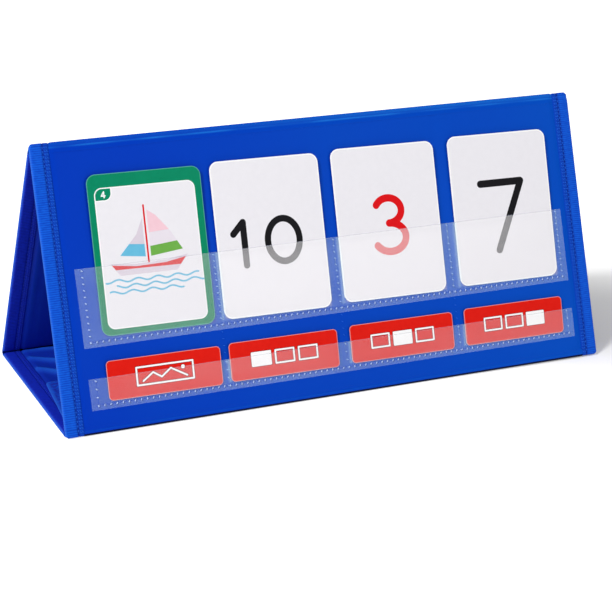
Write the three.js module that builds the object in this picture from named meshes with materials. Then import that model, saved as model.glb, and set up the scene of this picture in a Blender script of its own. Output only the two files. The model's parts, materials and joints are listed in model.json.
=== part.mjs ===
// Tabletop pocket chart: a nylon tent of three stiff panels with clear pockets on its front.
//
// Millimetres, +Z up, X along the width, the pockets facing -Y, the origin under the middle
// of the base. The three panels are one ribbon of fabric that goes up the front, over the
// ridge, down the back and forward along the base. Each panel has its own frame: x along the
// width, y along the ribbon, z out of the tent, with z = 0 on the panel's outer face.
import * as THREE from 'three';
import { mergeVertices } from 'three/addons/utils/BufferGeometryUtils.js';

// What stands in the pockets
const cardWidth = 76.2;
const cardHeight = 102.0;
const cardCorner = 6.0;
const labelWidth = 76.8;
const labelHeight = 25.2;
const labelCorner = 2.8;
const insertThickness = 0.4;

// Pockets side by side, with room to spare round the widest card, and their film past the ends
const pocketCount = 4;
const pocketSpare = 8.1;
const pocketPitch = Math.max(cardWidth, labelWidth) + pocketSpare;
const filmEnd = 6.4;
const filmWidth = pocketCount * pocketPitch + 2 * filmEnd;

// The tent, measured between the corners where the panels' outer faces would meet
const filmMargin = 17.9;
const chartWidth = filmWidth + 2 * filmMargin;
const frontSlant = 188.6;
const backSlant = 199.3;
const baseDepth = 154.8;

// The sewn sandwich of a panel
const fabric = 0.5;
const boardThickness = 2.0;
const layerGap = 0.3;
const panelThickness = 2 * (fabric + layerGap) + boardThickness;
const foldRadius = panelThickness / 2;

// Folded tape on the edges; shell and lining are pressed down to run inside it
const tapeWidth = 12.4;
const tapeThickness = 0.6;
const pressedRun = 1.5;
const pressedDepth = tapeThickness + layerGap;
const boardMargin = 2.6;
const frontHemTape = 9.0;

// Soft folds at the ridge, at the rear and round the foot of the front
const foldClearance = 1.07;
const footLift = 0.3;
const hemLeg = 3.0;

// Closing flap and its hook-and-loop strips
const flapLength = 70;
const flapThickness = 1.2;
const flapSideInset = 4.1;
const flapTaper = 5.5;
const flapStraight = 14;
const flapCornerRadius = 3;
const flapSeamGap = 0.5;
const stripLength = 110;
const stripWidth = 20;
const stripThickness = 1.0;
const stripSpacingShare = 0.5;
const stripFromHinge = 12;

// Pocket films, sewn a little off the middle, with their places up the front
const filmShift = 0.9;
const filmThickness = 0.35;
const sideSeam = 4.5;
const seamShift = 2.25;
const insertSlack = 0.3;
const crownShare = 1.08;
const crownPower = 10;
const crownSteps = 6;
const degree = Math.PI / 180;
const cardPocket = {
  hem: 55.4, stitch: 58.6, crease: 59.7, mouth: 105.5, foot: 60.7,
  lean: 0.8 * degree, turn: -0.8 * degree, shiftShares: [0.07, -0.2, -0.12, 0.14],
};
const labelPocket = {
  hem: 16.0, stitch: 18.8, crease: 19.6, mouth: 35.9, foot: 20.4,
  lean: 2.4 * degree, turn: -0.5 * degree, shiftShares: [0.02, -0.23, -0.07, 0.07],
};

const arcSteps = 8;
const cornerSteps = 5;
const X = new THREE.Vector3(1, 0, 0);
const Y = new THREE.Vector3(0, 1, 0);
const Z = new THREE.Vector3(0, 0, 1);

// The tent's section is a triangle, so its three sides give its corners
const cornerAngle = (a, b, opposite) => Math.acos((a * a + b * b - opposite * opposite) / (2 * a * b));
const frontAngle = cornerAngle(frontSlant, baseDepth, backSlant);
const rearAngle = cornerAngle(backSlant, baseDepth, frontSlant);
const ridgeAngle = Math.PI - frontAngle - rearAngle;

const cloth = {
  shell: { color: '#0d3fc4', roughness: 0.48, metalness: 0 },
  lining: { color: '#0a2484', roughness: 0.6, metalness: 0 },
  tape: { color: '#1c64e4', roughness: 0.75, metalness: 0 },
  flap: { color: '#2f6bdc', roughness: 0.9, metalness: 0 },
  hook: { color: '#10204c', roughness: 0.95, metalness: 0 },
  board: { color: '#8d857a', roughness: 0.9, metalness: 0 },
};
const film = { color: '#dfe8f6', roughness: 0.18, metalness: 0, transparent: true, opacity: 0.35 };
const pictureStock = { color: '#05825a', roughness: 0.4, metalness: 0 };
const whiteStock = { color: '#eeecf0', roughness: 0.4, metalness: 0 };
const redStock = { color: '#e11c12', roughness: 0.4, metalness: 0 };

function piece(parent, name, geometry, look) {
  const mesh = new THREE.Mesh(geometry, new THREE.MeshStandardMaterial(look));
  mesh.name = name;
  parent.add(mesh);
  return mesh;
}

// A frame that rides on a parent, tipped about X and set at a point of the YZ section
function sectionFrame(parent, y, z, tip) {
  const frame = new THREE.Group();
  frame.position.set(0, y, z);
  frame.rotation.x = tip;
  parent.add(frame);
  return frame;
}

// Turns a geometry so that its own axes run along the three given ones
function along(geometry, xAxis, yAxis, zAxis) {
  return geometry.applyMatrix4(new THREE.Matrix4().makeBasis(xAxis, yAxis, zAxis));
}

function plate(shape, thickness) {
  return new THREE.ExtrudeGeometry(shape, {
    depth: thickness, bevelEnabled: false, curveSegments: cornerSteps,
  });
}

// A closed sheet over a grid of stations: its outer face is at outerFace(x, y)
function sheet(xs, ys, outerFace, thickness) {
  const positions = [];
  for (const depth of [0, thickness]) {
    for (const y of ys) {
      for (const x of xs) {
        positions.push(x, y, outerFace(x, y) - depth);
      }
    }
  }
  const faces = [];
  const at = (layer, row, column) => (layer * ys.length + row) * xs.length + column;
  const quad = (a, b, c, d) => faces.push(a, b, c, a, c, d);
  const lastRow = ys.length - 1;
  const lastColumn = xs.length - 1;
  for (let row = 0; row < lastRow; row++) {
    for (let column = 0; column < lastColumn; column++) {
      const [right, up] = [column + 1, row + 1];
      quad(at(0, row, column), at(0, row, right), at(0, up, right), at(0, up, column));
      quad(at(1, row, column), at(1, up, column), at(1, up, right), at(1, row, right));
    }
    const up = row + 1;
    quad(at(1, up, 0), at(1, row, 0), at(0, row, 0), at(0, up, 0));
    quad(at(1, row, lastColumn), at(1, up, lastColumn), at(0, up, lastColumn), at(0, row, lastColumn));
  }
  for (let column = 0; column < lastColumn; column++) {
    const right = column + 1;
    quad(at(1, 0, column), at(1, 0, right), at(0, 0, right), at(0, 0, column));
    quad(at(1, lastRow, right), at(1, lastRow, column), at(0, lastRow, column), at(0, lastRow, right));
  }
  const geometry = new THREE.BufferGeometry();
  geometry.setAttribute('position', new THREE.Float32BufferAttribute(positions, 3));
  geometry.setIndex(faces);
  geometry.computeVertexNormals();
  return geometry;
}

// Section of a band folded clockwise round the origin between two outward normals, with a
// straight leg at each end. Tape round an edge turns half a circle, a soft fold turns less.
function foldSection(startNormal, endNormal, leg, thickness) {
  const inner = foldRadius - thickness;
  const point = (radius, normal, run) => new THREE.Vector2(
    radius * Math.cos(normal) + run * Math.sin(normal),
    radius * Math.sin(normal) - run * Math.cos(normal),
  );
  const arc = (radius, from, to, clockwise) =>
    new THREE.ArcCurve(0, 0, radius, from, to, clockwise).getPoints(arcSteps);
  return new THREE.Shape([
    point(foldRadius, startNormal, -leg),
    ...arc(foldRadius, startNormal, endNormal, true),
    point(foldRadius, endNormal, leg),
    point(inner, endNormal, leg),
    ...arc(inner, endNormal, startNormal, false),
    point(inner, startNormal, -leg),
  ]);
}

const edgeSection = (leg, thickness) => foldSection(Math.PI / 2, -Math.PI / 2, leg, thickness);

function roundedRectangle(width, height, radius) {
  const shape = new THREE.Shape();
  const [right, left] = [width / 2 - radius, radius - width / 2];
  shape.absarc(right, radius, radius, -Math.PI / 2, 0);
  shape.absarc(right, height - radius, radius, 0, Math.PI / 2);
  shape.absarc(left, height - radius, radius, Math.PI / 2, Math.PI);
  shape.absarc(left, radius, radius, Math.PI, Math.PI * 3 / 2);
  return shape;
}

// The place of a fold's axis, measured back along the panel from the corner of the outer faces
const axisSetback = (angle) => foldRadius / Math.tan(angle / 2);
// The place of a panel's end, measured back from the fold's axis
const panelSetback = (angle) => axisSetback(angle) + foldClearance;
// The longest leg that a turning panel end still clears
const foldLeg = (angle) => Math.sqrt((panelSetback(angle) - layerGap) ** 2 - foldRadius ** 2);

// The layers of a panel from y = start to y = end, and the tape on its side edges. A tape
// hem at the end of the panel presses the layers down there too.
function addPanel(frame, name, start, end, hemTape = 0) {
  const sideEdge = chartWidth / 2 - foldRadius - layerGap;
  const tapeEdge = chartWidth / 2 - tapeWidth;
  const pressedFrom = tapeEdge - layerGap - pressedRun;
  const hemFrom = end - hemTape - layerGap - pressedRun;
  const layerEnd = hemTape ? end - foldRadius - layerGap : end;
  const pressedShare = (x, y) => {
    const side = (Math.abs(x) - pressedFrom) / pressedRun;
    const hem = hemTape ? (y - hemFrom) / pressedRun : 0;
    return Math.min(Math.max(side, hem, 0), 1);
  };
  const half = [pressedFrom, pressedFrom + pressedRun, sideEdge];
  const xs = [...half.map((x) => -x).reverse(), ...half];
  const ys = hemTape ? [start, hemFrom, hemFrom + pressedRun, layerEnd] : [start, end];
  const liningFace = fabric - panelThickness;
  const shellFace = (x, y) => -pressedDepth * pressedShare(x, y);
  const innerFace = (x, y) => liningFace + pressedDepth * pressedShare(x, y);
  piece(frame, `${name}_shell_fabric`, sheet(xs, ys, shellFace, fabric), cloth.shell);
  piece(frame, `${name}_lining`, sheet(xs, ys, innerFace, fabric), cloth.lining);

  const boardStart = start + boardMargin;
  const boardEnd = (hemTape ? hemFrom : end) - boardMargin;
  const boardWidth = 2 * (pressedFrom - boardMargin);
  const board = new THREE.BoxGeometry(boardWidth, boardEnd - boardStart, boardThickness);
  const boardMesh = piece(frame, `${name}_board`, board, cloth.board);
  boardMesh.position.set(0, (boardStart + boardEnd) / 2, -panelThickness / 2);

  const leg = tapeWidth - foldRadius;
  for (const [side, word] of [[-1, 'left'], [1, 'right']]) {
    const tape = plate(edgeSection(leg, tapeThickness), end - start);
    const run = side > 0 ? end : start;
    along(tape, X.clone().multiplyScalar(side), Z, Y.clone().multiplyScalar(-side));
    const mesh = piece(frame, `${name}_binding_${word}`, tape, cloth.tape);
    mesh.position.set(side * (chartWidth / 2 - foldRadius), run, -foldRadius);
  }
}

// A band along the chart's width, centred on X, from a section drawn in the YZ plane
function widthBand(section, width) {
  const band = along(plate(section, width), Y, Z, X);
  return band.translate(-width / 2, 0, 0);
}

// One film strip, sewn along its foot, its ends and between the pockets, and standing off
// the panel over each card by the room that the card needs
function pocketFilm(pocket) {
  const filmLeft = filmShift - filmWidth / 2;
  const filmRight = filmShift + filmWidth / 2;
  const seams = [filmLeft + sideSeam];
  for (let cell = 1; cell < pocketCount; cell++) {
    seams.push(seamShift + (cell - pocketCount / 2) * pocketPitch);
  }
  seams.push(filmRight - sideSeam);

  const xs = [filmLeft, seams[0]];
  const crowns = new Map();
  for (let cell = 0; cell < pocketCount; cell++) {
    const middle = (seams[cell] + seams[cell + 1]) / 2;
    const half = (seams[cell + 1] - seams[cell]) / 2;
    for (let step = 1 - crownSteps; step <= crownSteps; step++) {
      const reach = Math.sin((Math.PI / 2) * (step / crownSteps));
      const x = middle + half * reach;
      xs.push(x);
      crowns.set(x, (1 - Math.min(Math.abs(reach), 1) ** crownPower) ** (1 / crownPower));
    }
  }
  xs.push(filmRight);

  const seated = layerGap + filmThickness;
  const room = (y) => seated + insertThickness + insertSlack + (y - pocket.foot) * Math.tan(pocket.lean);
  const outerFace = (x, y) => {
    const open = y < pocket.crease ? 0 : 1;
    const lift = (room(y) * crownShare - layerGap) * (crowns.get(x) ?? 0) * open;
    return seated + lift;
  };
  return sheet(xs, [pocket.hem, pocket.stitch, pocket.crease, pocket.mouth], outerFace, filmThickness);
}

// A card leaning on the film of its pocket; its frame's y axis is the way it slides out
function addInsert(frame, name, pocket, cell, width, height, corner, look) {
  const seam = seamShift + (cell + (1 - pocketCount) / 2) * pocketPitch;
  const spare = pocketPitch - width;
  const slot = new THREE.Group();
  slot.position.set(seam + spare * pocket.shiftShares[cell], pocket.foot, layerGap);
  slot.rotation.set(pocket.lean, 0, pocket.turn);
  frame.add(slot);
  piece(slot, name, plate(roundedRectangle(width, height, corner), insertThickness), look);
}

// The flap lies flat behind the foot of the front, with tapering ends and round rear corners
const flapHinge = chartWidth / 2 - flapSideInset;
function flapShape() {
  const [hinge, rear] = [flapHinge, flapHinge - flapTaper];
  const shape = new THREE.Shape();
  shape.moveTo(-hinge, 0);
  shape.lineTo(hinge, 0);
  shape.lineTo(hinge, flapStraight);
  shape.lineTo(rear, flapLength - flapCornerRadius);
  shape.quadraticCurveTo(rear, flapLength, rear - flapCornerRadius, flapLength);
  shape.lineTo(flapCornerRadius - rear, flapLength);
  shape.quadraticCurveTo(-rear, flapLength, -rear, flapLength - flapCornerRadius);
  shape.lineTo(-hinge, flapStraight);
  return shape;
}

// Places in the YZ section: the ribbon's corners, and the axes of its folds
const frontFoot = -baseDepth / 2;
const rearCorner = baseDepth / 2;
const ridgeY = frontFoot + frontSlant * Math.cos(frontAngle);
const ridgeZ = frontSlant * Math.sin(frontAngle);
const rearAxisY = rearCorner - axisSetback(rearAngle);
const rearReach = rearAxisY + foldRadius;

// The foot of the front is a round fold just above the table, in front of the base's edge
const footCentreZ = footLift + foldRadius;
const footCentre = (footCentreZ + foldRadius * Math.cos(frontAngle)) / Math.sin(frontAngle);
const footReach = footCentre * Math.cos(frontAngle) + foldRadius * (Math.sin(frontAngle) - 1);
const baseInset = (panelThickness * (1 + Math.cos(frontAngle)) + layerGap) / Math.sin(frontAngle);
const baseEnd = baseDepth - baseInset;

const chart = new THREE.Group();
const tent = new THREE.Group();
tent.position.y = -(rearReach + frontFoot + footReach) / 2;
chart.add(tent);

const front = sectionFrame(tent, frontFoot, 0, frontAngle);
const back = sectionFrame(tent, ridgeY, ridgeZ, -rearAngle);
const base = sectionFrame(tent, rearCorner, 0, Math.PI);

// Base, from the rear fold forward to its taped front edge
const baseStart = axisSetback(rearAngle) + panelSetback(rearAngle);
addPanel(base, 'base', baseStart, baseEnd, frontHemTape);
const hemLength = chartWidth - 2 * (tapeWidth + layerGap);
const hemTapeLeg = frontHemTape - foldRadius;
const baseHem = along(plate(edgeSection(hemTapeLeg, tapeThickness), hemLength), Y, Z, X);
const baseHemMesh = piece(base, 'base_front_binding', baseHem, cloth.tape);
baseHemMesh.position.set(-hemLength / 2, baseEnd - foldRadius, -foldRadius);

// Back, from the ridge down to the rear fold
const backStart = axisSetback(ridgeAngle) + panelSetback(ridgeAngle);
addPanel(back, 'back', backStart, backSlant - baseStart);

// Front, from its foot up to the ridge
addPanel(front, 'front', footCentre + hemLeg + layerGap, frontSlant - backStart);
const footFold = plate(edgeSection(hemLeg, fabric), chartWidth);
along(footFold, Y.clone().negate(), Z, X.clone().negate());
const footMesh = piece(front, 'front_hem_fold', footFold, cloth.shell);
footMesh.position.set(chartWidth / 2, footCentre, -foldRadius);

// Soft folds, round on the axes that the panels turn about
const ridgeBack = foldRadius / Math.sin(ridgeAngle / 2);
const ridgeFold = sectionFrame(
  tent,
  ridgeY + ridgeBack * Math.cos(frontAngle + Math.PI + ridgeAngle / 2),
  ridgeZ + ridgeBack * Math.sin(frontAngle + Math.PI + ridgeAngle / 2),
  0,
);
ridgeFold.name = 'ridge_axis';
const frontNormal = frontAngle + Math.PI / 2;
const backNormal = Math.PI / 2 - rearAngle;
const ridgeSection = foldSection(frontNormal, backNormal, foldLeg(ridgeAngle), fabric);
piece(ridgeFold, 'ridge_fold_fabric', widthBand(ridgeSection, chartWidth), cloth.shell);

const rearFold = sectionFrame(tent, rearAxisY, foldRadius, 0);
rearFold.name = 'rear_axis';
const rearSection = foldSection(backNormal, -Math.PI / 2, foldLeg(rearAngle), fabric);
piece(rearFold, 'rear_fold_fabric', widthBand(rearSection, chartWidth), cloth.shell);

// Closing flap, seated on its strips: loop tape on the base, hook tape under the flap
const loopFace = panelThickness + layerGap;
const hookFace = loopFace + stripThickness + layerGap;
const flapUnder = hookFace + stripThickness + layerGap;
const flapAxisZ = flapUnder + flapThickness / 2;
const flapAxisDepth = panelThickness + flapThickness / 2 + flapSeamGap;
const flapAxisRun = (flapAxisZ + flapAxisDepth * Math.cos(frontAngle)) / Math.sin(frontAngle);
const flapAxisY = frontFoot + flapAxisRun * Math.cos(frontAngle) + flapAxisDepth * Math.sin(frontAngle);
const flap = sectionFrame(tent, flapAxisY, flapAxisZ, 0);
flap.name = 'flap_axis';
const flapMesh = piece(flap, 'closure_flap', plate(flapShape(), flapThickness), cloth.flap);
flapMesh.position.z = -flapThickness / 2;
for (const [side, word] of [[-1, 'left'], [1, 'right']]) {
  for (const [kind, face] of [['hook', hookFace], ['loop', loopFace]]) {
    const strip = new THREE.BoxGeometry(stripLength, stripWidth, stripThickness);
    const mesh = piece(tent, `${kind}_strip_${word}`, strip, cloth.hook);
    const stripY = flapAxisY + stripFromHinge + stripWidth / 2;
    mesh.position.set(side * stripSpacingShare * flapHinge, stripY, face + stripThickness / 2);
  }
}

// Films and what stands behind them
piece(front, 'card_pocket_film', pocketFilm(cardPocket), film);
piece(front, 'label_pocket_film', pocketFilm(labelPocket), film);
for (let cell = 0; cell < pocketCount; cell++) {
  const cardName = cell ? `character_card_${cell}` : 'picture_card';
  const stock = cell ? whiteStock : pictureStock;
  addInsert(front, cardName, cardPocket, cell, cardWidth, cardHeight, cardCorner, stock);
  const labelName = `label_card_${cell + 1}`;
  addInsert(front, labelName, labelPocket, cell, labelWidth, labelHeight, labelCorner, redStock);
}

chart.traverse((node) => {
  if (node.isMesh && !node.geometry.index) {
    node.geometry.deleteAttribute('normal');
    node.geometry.deleteAttribute('uv');
    node.geometry = mergeVertices(node.geometry);
    node.geometry.computeVertexNormals();
  }
});

export default chart;
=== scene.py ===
import json
from math import acos, cos, pi, radians, sin, tan

import bpy
import numpy as np
from mathutils import Matrix, Vector
from mathutils.geometry import delaunay_2d_cdt


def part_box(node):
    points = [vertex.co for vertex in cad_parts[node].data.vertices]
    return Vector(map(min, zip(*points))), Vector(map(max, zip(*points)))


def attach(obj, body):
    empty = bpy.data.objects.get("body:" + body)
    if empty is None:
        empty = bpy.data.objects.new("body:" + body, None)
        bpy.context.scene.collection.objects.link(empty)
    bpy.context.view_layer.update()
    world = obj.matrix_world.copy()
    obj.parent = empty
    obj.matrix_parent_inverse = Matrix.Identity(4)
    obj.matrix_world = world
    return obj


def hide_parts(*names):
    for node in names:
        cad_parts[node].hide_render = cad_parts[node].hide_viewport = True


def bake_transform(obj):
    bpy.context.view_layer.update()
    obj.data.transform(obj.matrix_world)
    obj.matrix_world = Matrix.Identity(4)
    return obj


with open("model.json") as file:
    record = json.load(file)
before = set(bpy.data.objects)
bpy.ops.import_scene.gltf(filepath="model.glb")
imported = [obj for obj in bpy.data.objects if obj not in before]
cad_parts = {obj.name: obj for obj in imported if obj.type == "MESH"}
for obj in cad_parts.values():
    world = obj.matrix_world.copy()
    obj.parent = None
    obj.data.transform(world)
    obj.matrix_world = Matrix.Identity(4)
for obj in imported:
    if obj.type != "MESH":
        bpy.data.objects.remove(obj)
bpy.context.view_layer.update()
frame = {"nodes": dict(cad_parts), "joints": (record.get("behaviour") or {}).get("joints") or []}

# The studio: a white table with a white background, two soft boxes and a camera with a long
# lens, above the chart and to its left.
mm = 0.001
camera_place = Vector((-492, -1097, 488.2)) * mm
camera_heading = radians(-24.28)
camera_dip = radians(20.59)
camera_roll = radians(1.03)
sensor_width = 36
focal_length = 109.1
table_size = 6.0
table_drop = 0.2 * mm
table_glow = 0.1
table_glow_far = 0.7
glow_from = 0.035
glow_full = 0.2
shadow_place = Vector((0.235, -0.02, 0))
ambient_strength = 0.36
soft_boxes = {
    "soft_box_left": {"place": (-1.9, -0.9, 1.9), "size": 0.7, "power": 46.0},
    "soft_box_front": {"place": (0.9, -2.0, 0.9), "size": 0.8, "power": 10.0},
}


def in_scene(name, data):
    """A new object in the scene, of a mesh, a lamp or a camera."""
    made = bpy.data.objects.new(name, data)
    bpy.context.scene.collection.objects.link(made)
    return made


ahead = Vector((
    -sin(camera_heading) * cos(camera_dip), cos(camera_heading) * cos(camera_dip), -sin(camera_dip),
))
level = ahead.cross(Vector((0, 0, 1))).normalized()
upright = level.cross(ahead)
rightward = level * cos(camera_roll) + upright * sin(camera_roll)
upward = upright * cos(camera_roll) - level * sin(camera_roll)
camera = in_scene("camera", bpy.data.cameras.new("camera"))
camera_turn = Matrix((rightward, upward, -ahead)).transposed().to_4x4()
camera.matrix_world = Matrix.Translation(camera_place) @ camera_turn
camera.data.sensor_width = sensor_width
camera.data.lens = focal_length
camera.data.clip_end = table_size
bpy.context.scene.camera = camera
bpy.context.scene.view_settings.view_transform = "Standard"


def node(tree, kind, feeds=None, **settings):
    """A node with its settings, and its inputs set to values or joined to other nodes' outputs."""
    made = tree.nodes.new(kind)
    for name, value in settings.items():
        setattr(made, name, value)
    for socket, value in (feeds or {}).items():
        if isinstance(value, bpy.types.NodeSocket):
            tree.links.new(value, made.inputs[socket])
        else:
            made.inputs[socket].default_value = value
    return made


def reckon(tree, operation, *values, kind="ShaderNodeMath"):
    """The outcome of one sum in a node tree."""
    return node(tree, kind, dict(enumerate(values)), operation=operation).outputs[0]


def clamped(tree, operation, *values):
    """The outcome of one sum in a node tree, held between 0 and 1."""
    return node(
        tree, "ShaderNodeMath", dict(enumerate(values)), operation=operation, use_clamp=True,
    ).outputs[0]


def blended(tree, share, low, high):
    """A colour between two others, each of them a linear colour or a socket."""
    return node(tree, "ShaderNodeMix", {0: share, 6: low, 7: high}, data_type="RGBA").outputs[2]


def own_map(tree):
    """The cloth's own map, in metres along and across it."""
    return node(tree, "ShaderNodeUVMap", uv_map="cloth").outputs[0]


def own_place(tree):
    """Places in the object's own frame."""
    return node(tree, "ShaderNodeTexCoord").outputs["Object"]


def own_mark(tree, name):
    """A mark that the mesh carries at its points."""
    return node(tree, "ShaderNodeAttribute", attribute_name=name).outputs["Fac"]


def embossed(tree, shader, strength, distance, height):
    """Gives a finish its relief, from a height that varies over the surface."""
    relief = node(tree, "ShaderNodeBump", {"Strength": strength, "Distance": distance, "Height": height})
    tree.links.new(relief.outputs[0], shader.inputs["Normal"])


def seen_directly(tree):
    """1 for what the camera sees, straight or in gloss and glass, and 0 for light on the object."""
    path = node(tree, "ShaderNodeLightPath")
    gloss = reckon(tree, "ADD", path.outputs["Is Glossy Ray"], path.outputs["Is Transmission Ray"])
    return clamped(tree, "ADD", path.outputs["Is Camera Ray"], gloss)


world = bpy.data.worlds.new("studio")
bpy.context.scene.world = world
world.use_nodes = True
sky = world.node_tree
seen = seen_directly(sky)
backdrop_strength = node(sky, "ShaderNodeMix", {0: seen, 2: ambient_strength, 3: 1.0}, data_type="FLOAT")
sky.nodes["Background"].inputs["Color"].default_value = (1, 1, 1, 1)
sky.links.new(backdrop_strength.outputs[0], sky.nodes["Background"].inputs["Strength"])

for name, box in soft_boxes.items():
    lamp = in_scene(name, bpy.data.lights.new(name, "AREA"))
    lamp.data.shape = "DISK"
    lamp.data.size = box["size"]
    lamp.data.energy = box["power"]
    lamp.location = box["place"]
    lamp.rotation_euler = (-Vector(box["place"])).to_track_quat("-Z", "Y").to_euler()


def linear(red, green, blue):
    """A colour as it is seen on a screen, from 0 to 255, in the linear values that shaders take."""
    return tuple(
        value / 255 / 12.92 if value <= 10 else ((value / 255 + 0.055) / 1.055) ** 2.4
        for value in (red, green, blue)
    ) + (1.0,)


def principled(name, colour, roughness, **sockets):
    """A material, its tree and its shader, with the shader's other sockets named in words."""
    material = bpy.data.materials.new(name)
    material.use_nodes = True
    shader = material.node_tree.nodes["Principled BSDF"]
    shader.inputs["Base Color"].default_value = linear(*colour)
    shader.inputs["Roughness"].default_value = roughness
    for socket, value in sockets.items():
        shader.inputs[socket.replace("_", " ")].default_value = value
    return material, material.node_tree, shader


table_top = bpy.data.meshes.new("table_top")
reach = table_size / 2
corners = [(-reach, -reach), (reach, -reach), (reach, reach), (-reach, reach)]
table_top.from_pydata([(x, y, -table_drop) for x, y in corners], [], [(0, 1, 2, 3)])
table = in_scene("table", table_top)
table_paint, table_tree, table_shader = principled(
    "table_paint", (255, 255, 255), 1.0, Specular_IOR_Level=0.0,
)
table_shader.inputs["Emission Color"].default_value = (1, 1, 1, 1)
table_spot = own_place(table_tree)
away = node(
    table_tree, "ShaderNodeVectorMath", {0: table_spot, 1: shadow_place}, operation="DISTANCE",
).outputs["Value"]
brighter = node(table_tree, "ShaderNodeMapRange", {
    "Value": away, "From Min": glow_from, "From Max": glow_full,
    "To Min": table_glow, "To Max": table_glow_far,
}, interpolation_type="SMOOTHSTEP").outputs[0]
glow = reckon(table_tree, "MULTIPLY", seen_directly(table_tree), brighter)
table_tree.links.new(glow, table_shader.inputs["Emission Strength"])
table_top.materials.append(table_paint)

# Stiff boards: three sheets of grey pulp board, cut square and slid between the outer cloth and
# the lining before the edges are bound. They are closed in on all sides.
board_grey = (146, 138, 128)
board_fibre_scale = 900.0


def cloudy(tree, vector, scale, detail=3.0, stretch=(1.0, 1.0, 1.0)):
    """A soft noise from 0 to 1 over a surface, drawn out along its axes by stretch."""
    placed = node(tree, "ShaderNodeMapping", {"Vector": vector, "Scale": stretch})
    return node(
        tree, "ShaderNodeTexNoise", {"Vector": placed.outputs[0], "Scale": scale, "Detail": detail},
    ).outputs[0]


def between(tree, share, low, high):
    """A colour between two others, by a share that varies over the surface."""
    return blended(tree, share, linear(*low), linear(*high))


pulp, pulp_tree, pulp_shader = principled("pulp_board", board_grey, 0.9)
fibres = cloudy(pulp_tree, own_place(pulp_tree), board_fibre_scale)
pulp_shade = between(pulp_tree, fibres, (120, 112, 102), (168, 160, 150))
pulp_tree.links.new(pulp_shade, pulp_shader.inputs["Base Color"])
for name in ("front_board", "back_board", "base_board"):
    board = frame["nodes"][name]
    board.data.materials.clear()
    board.data.materials.append(pulp)

# Outer cloth: one ribbon of royal blue coated nylon goes up the front, over the ridge, down the
# back and forward under the base. It is pressed down at its edges, where the tape holds it, and
# a little drawn in along every seam.
chart_width = 388.2 * mm
front_slant = 188.6 * mm
back_slant = 199.3 * mm
base_depth = 154.8 * mm
panel_thickness = 3.6 * mm
fold_radius = panel_thickness / 2
cloth_thickness = 0.5 * mm
layer_gap = 0.3 * mm
tape_width = 12.4 * mm
tape_thickness = 0.6 * mm
pressed_depth = tape_thickness + layer_gap
pressed_run = 0.9 * mm
fold_clearance = 1.07 * mm
foot_lift = 0.3 * mm
front_hem_tape = 9.0 * mm
half_width = chart_width / 2
side_edge = half_width - fold_radius - layer_gap
tape_edge = half_width - tape_width
seam_places = [(-82.65) * mm, 2.25 * mm, 87.15 * mm]
seam_dip = 0.18 * mm
seam_dip_width = 1.6 * mm
pucker_depth = 0.16 * mm
pucker_reach = 7 * mm
pucker_pitch = 5.6 * mm
cloth_step = 2.4 * mm
# Painted highlight under the ridge: its place, its width, and the run of fine rows that carry it
highlight_place = -1.7 * mm
highlight_width = 0.55 * mm
highlight_run = 4 * mm
fold_step = 0.35 * mm
smooth_angle = radians(50)
weave_relief = 0.15 * mm
streak_wave = 23 * mm
wander_wave = 9 * mm
swell_lengths = (150 * mm, 95 * mm, 60 * mm, 38 * mm, 24 * mm)
swell_span = 370 * mm
outer_slack = 0.20 * mm


def corner_angle(a, b, opposite):
    """The angle of a triangle between two sides."""
    return acos((a * a + b * b - opposite * opposite) / (2 * a * b))


front_angle = corner_angle(front_slant, base_depth, back_slant)
rear_angle = corner_angle(back_slant, base_depth, front_slant)
ridge_angle = pi - front_angle - rear_angle


def setback(angle):
    """How far a fold's axis lies back from the corner of the outer faces."""
    return fold_radius / tan(angle / 2)


# Runs along the ribbon, from the corner at the front's foot
ridge_start = front_slant - setback(ridge_angle)
ridge_end = ridge_start + fold_radius * (pi - ridge_angle)
rear_start = ridge_end + back_slant - setback(ridge_angle) - setback(rear_angle)
rear_end = rear_start + fold_radius * (pi - rear_angle)
base_inset = (panel_thickness * (1 + cos(front_angle)) + layer_gap) / sin(front_angle)
ribbon_end = rear_end + base_depth - setback(rear_angle) - base_inset
ridge_margin = setback(ridge_angle) + fold_clearance
rear_margin = setback(rear_angle) + fold_clearance
hem_leg = 3.0 * mm
foot_centre = (foot_lift + fold_radius * (1 + cos(front_angle))) / sin(front_angle)
foot_reach = foot_centre * cos(front_angle) + fold_radius * (sin(front_angle) - 1)
panels = {
    "front": (foot_centre + hem_leg + layer_gap, ridge_start - ridge_margin),
    "back": (ridge_end + ridge_margin, rear_start - rear_margin),
    "base": (rear_end + rear_margin, ribbon_end),
}
front_corner = Vector((0, (setback(rear_angle) - fold_radius - base_depth - foot_reach) / 2, 0))


def ribbon_frame(run):
    """The frame on the ribbon's outer face at a run: x along the width, y along it, z outwards."""
    heading = front_angle
    place = front_corner.copy()
    stretches = [
        (ridge_start, 0), (ridge_end, pi - ridge_angle), (rear_start, 0), (rear_end, pi - rear_angle),
        (max(run, rear_end), 0),
    ]
    start = 0.0
    for end, turn in stretches:
        length = min(run, end) - start
        if length <= 0 and start > 0:
            break
        if turn:
            normal = Vector((0, -sin(heading), cos(heading)))
            centre = place - normal * fold_radius
            heading -= length / fold_radius
            place = centre + Vector((0, -sin(heading), cos(heading))) * fold_radius
        else:
            place = place + Vector((0, cos(heading), sin(heading))) * length
        start = end
    return Matrix.Translation(place) @ Matrix.Rotation(heading, 4, "X")


def ribbon_stations(runs):
    """Places and outward normals along the ribbon, as arrays of points in the row frame."""
    frames = [ribbon_frame(run) for run in runs]
    places = np.array([f.translation for f in frames])
    normals = np.array([f.col[2][:3] for f in frames])
    return places, normals


def stops(start, end, step):
    """Evenly spaced places, both ends among them, about a step apart."""
    return np.linspace(start, end, max(2, round((end - start) / step) + 1))


def eased(share):
    """A share held between 0 and 1, with soft ends."""
    held = np.clip(share, 0, 1)
    return held * held * (3 - 2 * held)


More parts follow.
